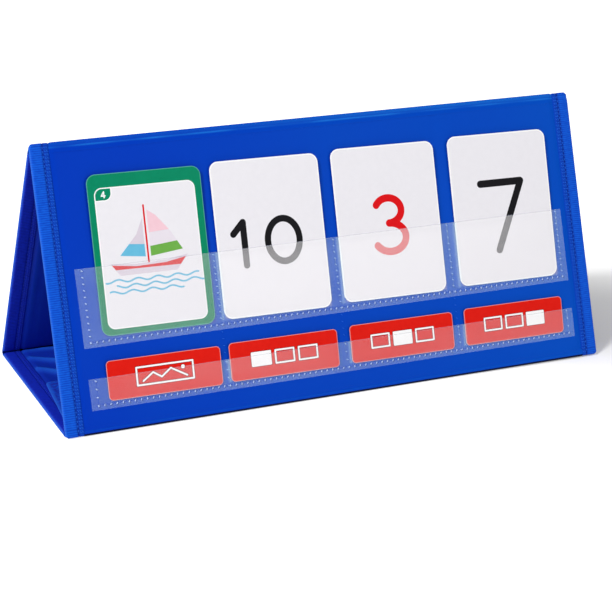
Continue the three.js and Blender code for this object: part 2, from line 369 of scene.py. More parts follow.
def lengths_along(points):
    """Lengths along a row of points, from 0 at its start."""
    return np.concatenate([[0], np.cumsum(np.linalg.norm(np.diff(points, axis=0), axis=1))])


def grid_over(places, normals, height, across):
    """Points at a height over stations, set out across the width."""
    grid = places[:, None, :] + normals[:, None, :] * height[:, :, None]
    grid[:, :, 0] = across
    return grid


def sheet_between(name, outer, inner, across, along, marks=None):
    """A closed sheet between two grids of points, with its UV map in metres of cloth.

    Rows go along the cloth and columns across it, so that the outer grid faces outwards. A mark is
    one array for both faces, or a pair of arrays."""
    rows, columns = outer.shape[:2]
    top = np.arange(rows * columns).reshape(rows, columns)
    under = top + rows * columns

    def quads(*rings):
        return np.stack(rings, -1).reshape(-1, 4)

    faces = np.concatenate([
        quads(top[:-1, :-1], top[:-1, 1:], top[1:, 1:], top[1:, :-1]),
        quads(under[:-1, :-1], under[1:, :-1], under[1:, 1:], under[:-1, 1:]),
        quads(top[:-1, 0], top[1:, 0], under[1:, 0], under[:-1, 0]),
        quads(under[:-1, -1], under[1:, -1], top[1:, -1], top[:-1, -1]),
        quads(under[0, :-1], under[0, 1:], top[0, 1:], top[0, :-1]),
        quads(top[-1, :-1], top[-1, 1:], under[-1, 1:], under[-1, :-1]),
    ])
    mesh = bpy.data.meshes.new(name)
    points = np.concatenate([outer.reshape(-1, 3), inner.reshape(-1, 3)])
    mesh.from_pydata(points.tolist(), [], faces.tolist())
    for word, values in (marks or {}).items():
        pair = values if isinstance(values, tuple) else (values, values)
        attribute = mesh.attributes.new(word, "FLOAT", "POINT")
        attribute.data.foreach_set("value", np.concatenate([v.ravel() for v in pair]).astype(np.float32))
    loops = np.empty(len(mesh.loops), np.int32)
    mesh.loops.foreach_get("vertex_index", loops)
    chart = np.stack([across.ravel(), along.ravel()], -1)
    chart = np.concatenate([chart, chart])[loops]
    mesh.uv_layers.new(name="cloth").data.foreach_set("uv", chart.astype(np.float32).ravel())
    mesh.shade_smooth()
    mesh.set_sharp_from_angle(angle=smooth_angle)
    return in_scene(name, mesh)


def ridge_highlight(across, along):
    """Painted highlight on the outer cloth, from 0 to 1: most in a streak under the ridge, and paler over the
    ridge itself.
    """
    uneven = 0.62 + 0.38 * np.sin(across / streak_wave + 1.3 * np.sin(across / wander_wave))
    streak = uneven * np.exp(-((along - ridge_start - highlight_place) / highlight_width) ** 2)
    over_ridge = eased((along - ridge_start - highlight_place) / fold_radius)
    over_ridge *= 0.22 + 0.33 * eased(across / half_width + 0.5)
    return np.maximum(streak, over_ridge * (along < ridge_end))


def ribbon_sheet(name, runs, widths, outer_height, inner_height, mark="painted_highlight", marking=ridge_highlight):
    """A sheet that follows the ribbon, between two heights over its outer face."""
    places, normals = ribbon_stations(runs)
    across, along = np.meshgrid(widths, runs)
    grids = [
        grid_over(places, normals, height(across, along), across) for height in (outer_height, inner_height)
    ]
    return sheet_between(name, *grids, across, along, marks={mark: marking(across, along)})


def pressed(across, along, hem_end=None):
    """How far the cloth is pressed down under the tape, from 0 to 1."""
    press_from = tape_edge - layer_gap - pressed_run
    share = (np.abs(across) - press_from) / pressed_run
    if hem_end is not None:
        hem_from = hem_end - front_hem_tape - layer_gap - pressed_run
        share = np.maximum(share, (along - hem_from) / pressed_run)
    return eased(share)


def puckers(across, along):
    """Small tucks that the binding seam draws into the cloth beside it."""
    inward = np.maximum(tape_edge - np.abs(across), 0)
    wander = 1.3 * np.sin(along / wander_wave)
    wave = 0.5 + 0.5 * np.sin(2 * pi * along / pucker_pitch + wander + np.sign(across))
    return pucker_depth * wave * np.exp(-inward / pucker_reach)


def swells(across, along, depth, seed):
    """Slow unevenness of the cloth over its board, from 0 to the given depth."""
    draw = np.random.default_rng(seed)
    total = np.zeros_like(across)
    for length in swell_lengths:
        heading = draw.uniform(0, pi)
        phase = draw.uniform(0, 2 * pi)
        total += length * np.sin(2 * pi * (across * cos(heading) + along * sin(heading)) / length + phase)
    return depth * (0.5 + 0.5 * total / swell_span)


def crease(across, along, start, end, bow, width, height):
    """A soft crease from start to end, each (across, along), bowed sideways by bow."""
    chord = np.subtract(end, start)
    length = float(np.hypot(*chord))
    unit = chord / length
    share = ((across - start[0]) * unit[0] + (along - start[1]) * unit[1]) / length
    aside = (along - start[1]) * unit[0] - (across - start[0]) * unit[1]
    aside = aside - 4 * bow * share * (1 - share)
    fade = np.sin(pi * np.clip(share, 0, 1)) ** 0.6
    return height * np.exp(-(aside / width) ** 2) * fade


def group_tree(name, kind, inputs, outputs):
    """An empty node group with named sockets, and its two ends."""
    tree = bpy.data.node_groups.new(name, kind)
    for word, socket, default in inputs:
        made = tree.interface.new_socket(word, in_out="INPUT", socket_type=f"NodeSocket{socket}")
        if default is not None:
            made.default_value = default
    for word, socket in outputs:
        tree.interface.new_socket(word, in_out="OUTPUT", socket_type=f"NodeSocket{socket}")
    return tree, node(tree, "NodeGroupInput").outputs, node(tree, "NodeGroupOutput").inputs


# Plain weave seen close: warp and weft threads in turn over each other, on the cloth's own map
weave, weave_in, weave_out = group_tree(
    "plain_weave", "ShaderNodeTree",
    [("Cloth", "Vector", None), ("Thread Pitch", "Float", 0.6 * mm)],
    [("Height", "Float"), ("Wear", "Float")],
)
axes = node(weave, "ShaderNodeSeparateXYZ", {0: weave_in["Cloth"]})
thread_waves = []
for axis in (0, 1):
    half_turns = reckon(weave, "MULTIPLY", axes.outputs[axis], pi)
    turns = reckon(weave, "DIVIDE", half_turns, weave_in["Thread Pitch"])
    thread_waves.append(reckon(weave, "SINE", turns))
checker = reckon(weave, "MULTIPLY", *thread_waves)
weave.links.new(reckon(weave, "MULTIPLY_ADD", checker, 0.5, 0.5), weave_out["Height"])
weave.links.new(cloudy(weave, weave_in["Cloth"], 14.0, 4.0), weave_out["Wear"])


def woven(name, low, high, roughness, pitch, bump, scale=9.0, **sockets):
    """A cloth finish: a slow change between two shades, a weave in relief and uneven gloss."""
    material, tree, shader = principled(name, high, roughness, **sockets)
    chart = own_map(tree)
    threads = node(tree, "ShaderNodeGroup", node_tree=weave)
    tree.links.new(chart, threads.inputs["Cloth"])
    threads.inputs["Thread Pitch"].default_value = pitch
    shade = cloudy(tree, chart, scale)
    tree.links.new(between(tree, shade, low, high), shader.inputs["Base Color"])
    gloss = reckon(tree, "MULTIPLY_ADD", threads.outputs["Wear"], 0.16, roughness - 0.08)
    tree.links.new(gloss, shader.inputs["Roughness"])
    embossed(tree, shader, bump, weave_relief, threads.outputs["Height"])
    return material, tree, shader


# The nylon's tone varies at random. It is painted lighter and greener towards the right as a painted sheen,
# and paler where a painted highlight lies under and over the ridge
nylon_deep, nylon_light, nylon_highlight = (1, 47, 182), (2, 82, 193), (24, 112, 212)
painted_sheen_drift = 0.62
nylon, nylon_tree, nylon_shader = woven(
    "royal_blue_nylon", nylon_deep, nylon_light, 0.44, 0.55 * mm, 0.25, Specular_IOR_Level=0.03,
)
nylon_chart = own_map(nylon_tree)
bolt_place = node(nylon_tree, "ShaderNodeSeparateXYZ", {0: nylon_chart}).outputs[0]
sheen_drift = node(nylon_tree, "ShaderNodeMapRange", {
    "Value": bolt_place, "From Min": -half_width, "From Max": half_width, "To Max": painted_sheen_drift,
}).outputs[0]
tone_and_sheen = reckon(nylon_tree, "MULTIPLY_ADD", cloudy(nylon_tree, nylon_chart, 9.0), 1 - painted_sheen_drift, sheen_drift)
nylon_shade = blended(
    nylon_tree, own_mark(nylon_tree, "painted_highlight"), between(nylon_tree, tone_and_sheen, nylon_deep, nylon_light),
    linear(*nylon_highlight),
)
nylon_tree.links.new(nylon_shade, nylon_shader.inputs["Base Color"])


def outer_cloth_height(name):
    """The outer cloth's outer face over a panel, by the panel's own seams and slackness."""
    def height(across, along):
        hem_end = ribbon_end if name == "base" else None
        press = pressed(across, along, hem_end)
        loose = swells(across, along, outer_slack, seed=len(name)) + puckers(across, along)
        if name == "front":
            for seam in seam_places:
                loose += seam_dip * np.exp(-((across - seam) / seam_dip_width) ** 2)
        return -pressed_depth * press - loose * (1 - press)
    return height


def lowered(height, amount):
    """The same height function, lower by an amount."""
    return lambda across, along: height(across, along) - amount


for name, (start, end) in panels.items():
    layer_end = end - fold_radius - layer_gap if name == "base" else end
    runs = stops(start, layer_end, cloth_step)
    if name == "front":
        fine_from = end - highlight_run
        runs = np.concatenate([stops(start, fine_from, cloth_step), stops(fine_from, end, fold_step)[1:]])
    widths = stops(-side_edge, side_edge, cloth_step)
    face = outer_cloth_height(name)
    cloth = ribbon_sheet(f"{name}_outer_cloth", runs, widths, face, lowered(face, cloth_thickness))
    cloth.data.materials.append(nylon)
    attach(cloth, name)
    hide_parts(f"{name}_shell_fabric")

# Soft folds: the same nylon without a board, where the panels turn on each other at the ridge
# and at the rear edge. It pinches in a little beside the boards' ends.
ridge_pinch = 0.55 * mm
ridge_axis = Vector(frame["joints"][1]["pos_m"])
rear_axis = Vector(frame["joints"][0]["pos_m"])
folds = {
    "ridge_fold_cloth": {
        "runs": (ridge_start - ridge_margin, ridge_end + ridge_margin), "stands_for": "ridge_fold_fabric",
        "bodies": ("back", "front"), "axis": ridge_axis, "pinch": ridge_pinch,
        "from": (0, 1.1 * mm, 0), "to": (0, -1.1 * mm, 0),
    },
    "rear_fold_cloth": {
        "runs": (rear_start - rear_margin, rear_end + rear_margin), "stands_for": "rear_fold_fabric",
        "bodies": ("base", "back"), "axis": rear_axis, "pinch": 0.0,
        "from": (0, -0.62 * mm, -0.62 * mm), "to": (0, 0.82 * mm, 0.82 * mm),
    },
}


def pinched(runs, amount):
    """How far the cloth of a fold sinks in, most of it half way from the board to the fold."""
    start, end = runs
    return lambda along: amount * np.sin(2 * pi * np.clip((along - start) / (end - start), 0, 1)) ** 2


for name, fold in folds.items():
    sink = pinched(fold["runs"], fold["pinch"])

    def face(across, along):
        return -pressed_depth * pressed(across, along) - sink(along) - 0.5 * puckers(across, along)

    runs = stops(*fold["runs"], fold_step)
    widths = stops(-side_edge, side_edge, cloth_step)
    cloth = ribbon_sheet(name, runs, widths, face, lowered(face, cloth_thickness))
    cloth.data.materials.append(nylon)
    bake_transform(cloth)
    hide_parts(fold["stands_for"])

# Linings: thinner nylon on the inside of each panel, coloured darker than the outer nylon as
# painted shade. Pleats run along the sides, and on the base the loose cloth is thrown into long creases
# towards the rear; the creases' crests are painted paler as a painted highlight.
lining_face = -panel_thickness
lining_step = 2.0 * mm
lining_slack = 0.22 * mm
base_start = panels["base"][0]
lining_creases = {
    "front": [],
    "back": [
        ((side * inset, ridge_end), (side * (inset + lean), rear_start), bow, 1.4 * mm, 0.22 * mm)
        for side in (-1, 1)
        for inset, lean, bow in ((177 * mm, 0.5 * mm, 1 * mm), (171 * mm, 1.5 * mm, -1 * mm))
    ],
    "base": [
        ((-186 * mm, base_start + 3 * mm), (-96 * mm, base_start + 22 * mm), -4 * mm, 1.8 * mm, 2.2 * mm),
        ((-186 * mm, base_start + 11 * mm), (-112 * mm, base_start + 52 * mm), 5 * mm, 2.7 * mm, 2.6 * mm),
        ((-187 * mm, base_start + 31 * mm), (-146 * mm, base_start + 84 * mm), -4 * mm, 3.0 * mm, 2.4 * mm),
        ((172 * mm, base_start + 9 * mm), (70 * mm, base_start + 24 * mm), 6 * mm, 3.0 * mm, 0.9 * mm),
        ((176 * mm, base_start + 28 * mm), (88 * mm, base_start + 44 * mm), -5 * mm, 2.8 * mm, 0.8 * mm),
        ((-40 * mm, base_start + 14 * mm), (62 * mm, base_start + 30 * mm), 7 * mm, 3.4 * mm, 0.8 * mm),
    ],
}
# Colour and strength of the painted highlight on the linings' crests
lining_crest_highlight = (36, 106, 228)
crest_highlight_share = 0.9
lining_nylon, lining_tree, lining_shader = woven(
    "lining_nylon", (16, 42, 162), (22, 58, 194), 0.36, 0.45 * mm, 0.15, scale=12.0, Specular_IOR_Level=0.06,
)
lining_shaded_tone = lining_shader.inputs["Base Color"].links[0].from_socket
crest_highlighted = blended(lining_tree, own_mark(lining_tree, "crest_highlight"), lining_shaded_tone, linear(*lining_crest_highlight))
lining_tree.links.new(crest_highlighted, lining_shader.inputs["Base Color"])


def lining_height(name):
    """The lining's visible face, with its pleats and creases standing towards the inside."""
    def height(across, along):
        hem_end = ribbon_end if name == "base" else None
        press = pressed(across, along, hem_end)
        loose = swells(across, along, lining_slack, seed=40 + len(name)) + puckers(across, along)
        for line in lining_creases[name]:
            loose += crease(across, along, *line)
        return lining_face + pressed_depth * press - loose * (1 - press)
    return height


def crest_highlights(name):
    """Painted highlight along the creases' crests of a lining, from 0 to 1."""
    def amount(across, along):
        total = np.zeros_like(across)
        for *line, height in lining_creases[name]:
            total = np.maximum(total, crease(across, along, *line, crest_highlight_share * min(1, height / (2 * mm))))
        return total
    return amount


for name, (start, end) in panels.items():
    layer_end = end - fold_radius - layer_gap if name == "base" else end
    face = lining_height(name)
    lining = ribbon_sheet(
        f"{name}_inner_cloth", stops(start, layer_end, lining_step),
        stops(-side_edge, side_edge, lining_step),
        lowered(face, -cloth_thickness), face, mark="crest_highlight", marking=crest_highlights(name),
    )
    lining.data.materials.append(lining_nylon)
    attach(lining, name)
    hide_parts(f"{name}_lining")

# Lining across the folds: past each board's end the lining drops onto the outer cloth and is
# sewn to it. In the corner at the rear edge this strip is near-black nylon as painted shade, which is seen as
# a dark line.
crease_drop_run = 0.9 * mm
crease_depth = 1.15 * mm
crease_thickness = 0.3 * mm
crease_side = tape_edge - layer_gap - pressed_run
# Near-black nylon: painted shade in the rear corner and under the foot
shade_nylon, _, _ = woven(
    "underside_nylon", (2, 6, 40), (4, 12, 62), 0.6, 0.45 * mm, 0.15, Specular_IOR_Level=0.05,
)
fold_linings = {"ridge_fold_cloth": lining_nylon, "rear_fold_cloth": shade_nylon}
for name, fold in folds.items():
    start, end = fold["runs"]
    sink = pinched(fold["runs"], fold["pinch"])

    def drop(along):
        inward = np.minimum(along - start, end - along)
        return eased(inward / crease_drop_run)

    def seen_face(across, along):
        return lining_face + (-crease_depth - sink(along) - lining_face) * drop(along)

    def hidden_face(across, along):
        thickness = cloth_thickness + (crease_thickness - cloth_thickness) * drop(along)
        return seen_face(across, along) + thickness

    runs = stops(start, end, fold_step)
    widths = stops(-crease_side, crease_side, cloth_step)
    strip = ribbon_sheet(name.replace("cloth", "lining"), runs, widths, hidden_face, seen_face)
    strip.data.materials.append(fold_linings[name])
    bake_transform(strip)

# Foot of the front: the outer cloth is turned round the board's lower edge and sewn down, so
# the front stands on a round fold with a fine seam above it. A painted highlight runs along the
# seam, and the fold's underside is near-black nylon as painted shade.
foot_side = half_width - tape_width + layer_gap
foot_seam_depth = 0.3 * mm
foot_seam_width = 0.45 * mm
foot_seam_rise = 1.0 * mm
# Strength of the painted highlight along the seam, and how far below the front face the underside's painted
# shade begins
foot_seam_highlight_share = 0.15
foot_shade_depth = 0.08 * mm
foot_leg_steps = 8
foot_arc_steps = 14
foot_top = panels["front"][0]
front_plane = ribbon_frame(0)


def foot_stations():
    """Places, normals and runs round the foot, from the lining side to the front face."""
    legs = np.linspace(foot_top, foot_centre, foot_leg_steps + 1)
    flat = [(y, -panel_thickness, pi) for y in legs[:-1]]
    for turn in np.linspace(pi, 0, foot_arc_steps + 1):
        flat.append((foot_centre - fold_radius * sin(turn), fold_radius * cos(turn) - fold_radius, turn))
    flat += [(y, 0.0, 0.0) for y in legs[::-1][1:]]
    places = np.array([front_plane @ Vector((0, y, z)) for y, z, _ in flat])
    normals = np.array([front_plane.to_3x3() @ Vector((0, -sin(turn), cos(turn))) for _, _, turn in flat])
    return places, normals, lengths_along(places)


foot_places, foot_normals, foot_runs = foot_stations()
across, along = np.meshgrid(stops(-foot_side, foot_side, cloth_step), foot_runs)
seam_run = foot_runs[-1] - (foot_top - foot_centre) + foot_seam_rise
near_seam = np.exp(-((along - seam_run) / foot_seam_width) ** 2)
groove = foot_seam_depth * near_seam
grids = [
    grid_over(foot_places, foot_normals, height, across) for height in (-groove, -groove - cloth_thickness)
]
foot_marks = {"painted_highlight": foot_seam_highlight_share * near_seam}
foot = sheet_between("foot_fold_cloth", *grids, across, along, marks=foot_marks)
foot.data.materials.append(nylon)
foot.data.materials.append(shade_nylon)
unslanted = front_plane.inverted()
for face in foot.data.polygons:
    spot = unslanted @ face.center
    face.material_index = int(spot.z < -foot_shade_depth and spot.y < foot_centre)
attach(foot, "front")
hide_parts("front_hem_fold")

# Grosgrain tape: a ribbed band folded over the side edges of every panel and round the folds,
# and along the front edge of the base. It is stitched down along a groove, and the strip inside
# the groove is oversewn.
rib_pitch = 1.4 * mm
rib_depth = 0.12 * mm
rib_step = rib_pitch / 4
groove_inset = 8.5 * mm
groove_width = 0.45 * mm
# Painted highlight along the fold's outer tip: its width and strength
tip_highlight_width = 1.1 * mm
tip_highlight_share = 0.5
tip_steps = 8
ridge_rounding = 1.1 * mm
foot_rounding = 0.8 * mm
rounding_run = 1.7 * mm
tape_fuzz = 0.1 * mm
tape_profile = [
    (0.0, 0.5), (0.35, 0.16), (1.3, 0.1), (2.8, 0.1), (3.5, 0.14), (3.9, 0.42), (4.3, 0.08), (5.4, 0.0),
    (7.4, 0.0), (9.2, 0.0),
]
tape_half = [(tape_width - inset * mm, depth * mm) for inset, depth in tape_profile]
tape_half += [
    (fold_radius * (1 - sin(turn)), fold_radius * (1 - cos(turn)))
    for turn in np.linspace(0, pi / 2, tip_steps + 1)
]
tape_half_under = [(inset, depth + tape_thickness) for inset, depth in tape_half[:len(tape_profile)]]
tip_radius = fold_radius - tape_thickness
tape_half_under += [
    (fold_radius - tip_radius * sin(turn), fold_radius - tip_radius * cos(turn))
    for turn in np.linspace(0, pi / 2, tip_steps + 1)
]

ribs, ribs_in, ribs_out = group_tree(
    "grosgrain_ribs", "GeometryNodeTree",
    [("Tape", "Geometry", None), ("Rib Pitch", "Float", rib_pitch), ("Rib Depth", "Float", rib_depth),
     ("Finish", "Material", None)],
    [("Tape", "Geometry")],
)
run_mark = node(ribs, "GeometryNodeInputNamedAttribute", {"Name": "run"}, data_type="FLOAT").outputs[0]
show_mark = node(ribs, "GeometryNodeInputNamedAttribute", {"Name": "ribbed"}, data_type="FLOAT").outputs[0]
turns = reckon(ribs, "MULTIPLY", reckon(ribs, "DIVIDE", run_mark, ribs_in["Rib Pitch"]), 2 * pi)
valley = reckon(ribs, "MULTIPLY_ADD", reckon(ribs, "COSINE", turns), 0.5, -0.5)
sink_by = reckon(ribs, "MULTIPLY", reckon(ribs, "MULTIPLY", valley, ribs_in["Rib Depth"]), show_mark)
outward = node(ribs, "GeometryNodeInputNormal").outputs[0]
offset = node(ribs, "ShaderNodeVectorMath", {0: outward, "Scale": sink_by}, operation="SCALE").outputs[0]
pressed_ribs = node(ribs, "GeometryNodeSetPosition", {"Geometry": ribs_in["Tape"], "Offset": offset})


def painted(tree, geometry, material):
    """Geometry with its instances made real, in one material."""
    real = node(tree, "GeometryNodeRealizeInstances", {0: geometry}).outputs[0]
    return node(tree, "GeometryNodeSetMaterial", {"Geometry": real, "Material": material}).outputs[0]


ribs.links.new(painted(ribs, pressed_ribs.outputs[0], ribs_in["Finish"]), ribs_out["Tape"])


def grown(made, tree, **inputs):
    """The object with the plain mesh that a node tree makes of it."""
    modifier = made.modifiers.new("growth", "NODES")
    modifier.node_group = tree
    for item in tree.interface.items_tree:
        if item.in_out == "INPUT" and item.name.replace(" ", "_") in inputs:
            modifier[item.identifier] = inputs[item.name.replace(" ", "_")]
    made.data.update()
    evaluated = made.evaluated_get(bpy.context.evaluated_depsgraph_get())
    mesh = bpy.data.meshes.new_from_object(evaluated)
    made.modifiers.remove(modifier)
    made.data = mesh
    return made


grosgrain, tape_tree, tape_shader = principled(
    "grosgrain", (24, 98, 224), 0.7, Specular_IOR_Level=0.08,
)
tape_chart = own_map(tape_tree)
tape_axes = node(tape_tree, "ShaderNodeSeparateXYZ", {0: tape_chart}).outputs
# The ribs are painted lighter on their crests than in their valleys as painted shade, unevenly at random; the
# inner face is painted darker as painted shade, the groove darker still as painted shade, and the fold's tip
# paler as a painted highlight
rib_turns = reckon(tape_tree, "MULTIPLY", tape_axes[1], 2 * pi / rib_pitch)
rib_crest = reckon(tape_tree, "MULTIPLY_ADD", reckon(tape_tree, "COSINE", rib_turns), 0.5, 0.5)
rib_noise = cloudy(tape_tree, tape_chart, 620.0, 2.0, stretch=(0.45, 1.0, 1.0))
rib_wear = reckon(tape_tree, "MULTIPLY_ADD", rib_noise, 1.8, -0.9)
rib_light = clamped(tape_tree, "ADD", rib_crest, rib_wear)
ribbed_shade = between(tape_tree, rib_light, (5, 68, 192), (15, 94, 216))
oversewn_shade = between(tape_tree, rib_light, (3, 54, 168), (7, 74, 192))
tape_shade = blended(tape_tree, own_mark(tape_tree, "oversewn"), ribbed_shade, oversewn_shade)
inside_painted_shade = between(tape_tree, rib_light, (14, 34, 166), (22, 50, 204))
tape_shade = blended(tape_tree, own_mark(tape_tree, "inside"), tape_shade, inside_painted_shade)
for mark, shade in (("groove", (3, 26, 128)), ("tip", (58, 122, 232))):
    tape_shade = blended(tape_tree, own_mark(tape_tree, mark), tape_shade, linear(*shade))
tape_tree.links.new(tape_shade, tape_shader.inputs["Base Color"])
embossed(tape_tree, tape_shader, 0.3, tape_fuzz, cloudy(tape_tree, tape_chart, 2600.0))


def tape_marks(insets, depths, ones):
    """What a tape's finish varies with, over its section: the oversewn strip, its inside, the painted shade
    of its groove and the painted highlight at its tip.
    """
    oversewn = (insets > groove_inset) * ones
    inside = eased((depths - fold_radius) / tape_thickness) * ones
    groove = np.exp(-((insets - groove_inset) / groove_width) ** 2) * (1 - 0.6 * inside)
    tip = tip_highlight_share * (1 - eased(insets / tip_highlight_width)) * ones
    return {
        "ribbed": (1 - 0.55 * oversewn) * (1 - 0.7 * inside), "oversewn": oversewn, "inside": inside,
        "groove": groove, "tip": tip,
    }


def section_lengths(insets, depths):
    """Lengths along a tape's section, from 0."""
    return np.concatenate([[0], np.cumsum(np.hypot(np.diff(insets), np.diff(depths)))])


def tape_along(name, places, normals, runs, section, under, side, drawn_in=0.0):
    """Tape swept along stations, from a section of (inset from the edge, depth), ribbed and painted."""
    insets, depths = np.array(section).T
    under_insets, under_depths = np.array(under).T
    grids = []
    for inset, depth in ((insets, depths), (under_insets, under_depths)):
        grid = places[:, None, :] - normals[:, None, :] * depth[None, :, None]
        drawn = np.outer(drawn_in, np.ones(len(inset))) * (1 - inset / tape_width)
        grid[:, :, 0] = side * (half_width - inset[None, :] - drawn)
        grids.append(grid if side > 0 else grid[:, ::-1])
    lengths = section_lengths(insets, depths)
    across, along = np.meshgrid(lengths, runs)
    marks = tape_marks(insets[None, :], depths[None, :], np.ones_like(across))
    if side < 0:
        marks = {word: values[:, ::-1] for word, values in marks.items()}
    marks["ribbed"] = (marks["ribbed"], 0 * across)
    band = sheet_between(name, *grids, across, along, marks={"run": along, **marks})
    grown(band, ribs, Finish=grosgrain)
    return band, (lengths[-1], runs[-1] - runs[0])


def other_face(half):
    """A half section with its mirror image on the panel's other face."""
    return half + [(inset, panel_thickness - depth) for inset, depth in half[-2::-1]]


tape_whole, tape_whole_under = other_face(tape_half), other_face(tape_half_under)
sides = {"left": -1, "right": 1}
for word, side in sides.items():
    for name, (start, end) in panels.items():
        runs = stops(start, end, rib_step)
        places, normals = ribbon_stations(runs)
        band, flat = tape_along(
            f"{name}_tape_{word}", places, normals, runs, tape_whole, tape_whole_under, side,
        )
        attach(band, name)
        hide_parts(f"{name}_binding_{word}")
    for name, fold in folds.items():
        runs = stops(*fold["runs"], rib_step)
        places, normals = ribbon_stations(runs)
        places = places - normals * pinched(fold["runs"], fold["pinch"])(runs)[:, None]
        rounded = ridge_rounding * np.exp(-((runs - np.mean(fold["runs"])) / rounding_run) ** 2)
        band, flat = tape_along(
            name.replace("cloth", f"tape_{word}"), places, normals, runs,
            tape_half, tape_half_under, side, rounded,
        )
        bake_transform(band)
    rounded = foot_rounding * np.exp(-((foot_runs - foot_runs[-1] / 2) / rounding_run) ** 2)
    band, flat = tape_along(
        f"foot_tape_{word}", foot_places, foot_normals, foot_runs, tape_half, tape_half_under, side, rounded,
    )
    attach(band, "front")

# The base's front edge has the same tape, folded over it between the side tapes
hem_side = half_width - tape_width - layer_gap
hem_runs = stops(-hem_side, hem_side, rib_step)
hem_frame = ribbon_frame(ribbon_end)
hem_scale = (front_hem_tape - fold_radius) / (tape_width - fold_radius)


def hem_points(section):
    """The tape's section across the width, at the front edge of the base."""
    insets, depths = np.array(section).T
    insets = np.where(insets > fold_radius, fold_radius + (insets - fold_radius) * hem_scale, insets)
    grid = np.empty((len(hem_runs), len(insets), 3))
    for column, (inset, depth) in enumerate(zip(insets, depths)):
        grid[:, column] = hem_frame @ Vector((0, -inset, -depth))
    grid[:, :, 0] = hem_runs[:, None]
    return grid[:, ::-1], insets


outer, insets = hem_points(tape_whole)
inner, _ = hem_points(tape_whole_under)
depths = np.array(tape_whole).T[1]
lengths = section_lengths(insets, depths)
across, along = np.meshgrid(lengths[::-1], hem_runs)
hem_marks = tape_marks(insets[None, ::-1] / hem_scale, depths[None, ::-1], np.ones_like(across))
hem_tape = sheet_between(
    "base_front_tape", outer, inner, across, along, marks={"run": along, **hem_marks},
)
grown(hem_tape, ribs, Finish=grosgrain)
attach(hem_tape, "base")
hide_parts("base_front_binding")

# Seams of the binding: two rows of slanting light blue stitches, half a stitch apart, over the
# inner strip of every tape, and a straight row in its groove. The thread on the inner face is painted darker
# as painted shade.
thread_radius = 0.2 * mm
overlock_pitch = 2.2 * mm
overlock_length = 1.7 * mm
overlock_turn = radians(48)
overlock_insets = (9.9 * mm, 11.3 * mm)
groove_pitch = 2.9 * mm
groove_stitch = 1.9 * mm
thread_rise = 0.06 * mm
thread_sunk = 0.1 * mm
groove_sunk = 0.3 * mm
thread_bend_step = 0.7 * mm
thread_end_gap = 1.4 * mm

stitching, stitching_in, stitching_out = group_tree(
    "stitch_row", "GeometryNodeTree",
    [("Path", "Geometry", None), ("Stitch Pitch", "Float", overlock_pitch),
     ("Stitch Length", "Float", overlock_length), ("Thread Radius", "Float", thread_radius),
     ("Slant", "Float", 0.0), ("Turn", "Float", 0.0), ("Unevenness", "Float", 0.12),
     ("Seed", "Int", 3), ("Thread", "Material", None)],
    [("Stitches", "Geometry")],
)
row = node(stitching, "GeometryNodeMeshToCurve", {0: stitching_in["Path"]})
points = node(stitching, "GeometryNodeCurveToPoints", {
    "Curve": row.outputs[0], "Length": stitching_in["Stitch Pitch"],
}, mode="LENGTH")
count = node(stitching, "GeometryNodeInputIndex").outputs[0]
parity = reckon(stitching, "MODULO", count, 2.0)
to_and_fro = reckon(stitching, "MULTIPLY_ADD", parity, 2.0, -1.0)
lean = reckon(stitching, "MULTIPLY", to_and_fro, stitching_in["Slant"])
jitter = node(
    stitching, "FunctionNodeRandomValue",
    {2: reckon(stitching, "MULTIPLY", stitching_in["Unevenness"], -1.0), 3: stitching_in["Unevenness"],
     "Seed": stitching_in["Seed"]}, data_type="FLOAT",
).outputs[1]
heading = node(stitching, "FunctionNodeAlignRotationToVector", {
    "Vector": points.outputs["Tangent"],
}, axis="X", pivot_axis="Z")
swing = reckon(stitching, "ADD", reckon(stitching, "ADD", lean, jitter), stitching_in["Turn"])
swing_angles = node(stitching, "ShaderNodeCombineXYZ", {2: swing}).outputs[0]
swing_turn = node(stitching, "FunctionNodeEulerToRotation", {0: swing_angles}).outputs[0]
turned = node(stitching, "FunctionNodeRotateRotation", {
    0: heading.outputs[0], 1: swing_turn,
}, rotation_space="LOCAL")
bead = node(stitching, "GeometryNodeMeshUVSphere", {"Segments": 6, "Rings": 4, "Radius": 1.0})
extent = node(stitching, "ShaderNodeCombineXYZ", {
    0: reckon(stitching, "MULTIPLY", stitching_in["Stitch Length"], 0.5),
    1: stitching_in["Thread Radius"], 2: stitching_in["Thread Radius"],
})
beads = node(stitching, "GeometryNodeInstanceOnPoints", {
    "Points": points.outputs[0], "Instance": bead.outputs[0],
    "Rotation": turned.outputs[0], "Scale": extent.outputs[0],
})
dyed = painted(stitching, beads.outputs[0], stitching_in["Thread"])
smooth_beads = node(stitching, "GeometryNodeSetShadeSmooth", {0: dyed})
stitching.links.new(smooth_beads.outputs[0], stitching_out["Stitches"])


def thread_finish(name, low, high, roughness=0.5):
    """A twisted polyester thread, its colour varying at random between two shades."""
    material, tree, shader = principled(name, high, roughness, Specular_IOR_Level=0.1)
    twist = cloudy(tree, own_place(tree), 1500.0)
    tree.links.new(between(tree, twist, low, high), shader.inputs["Base Color"])
    return material


def stitched(name, plane, rows, seed=3, **sizes):
    """Rows of stitches on a plane, each row a list of points (x, y, height) in its frame."""
    mesh = bpy.data.meshes.new(name)
    points, edges = [], []
    for row in rows:
        edges += [(len(points) + i, len(points) + i + 1) for i in range(len(row) - 1)]
        points += row
    mesh.from_pydata(points, edges, [])
    made = in_scene(name, mesh)
    grown(made, stitching, Seed=seed, **sizes)
    made.data.transform(plane)
    return made


def joined(name, parts):
    """Several meshes as one object of the first one's name."""
    with bpy.context.temp_override(active_object=parts[0], selected_editable_objects=parts):
        bpy.ops.object.join()
    parts[0].name = name
    parts[0].data.name = name
    return parts[0]


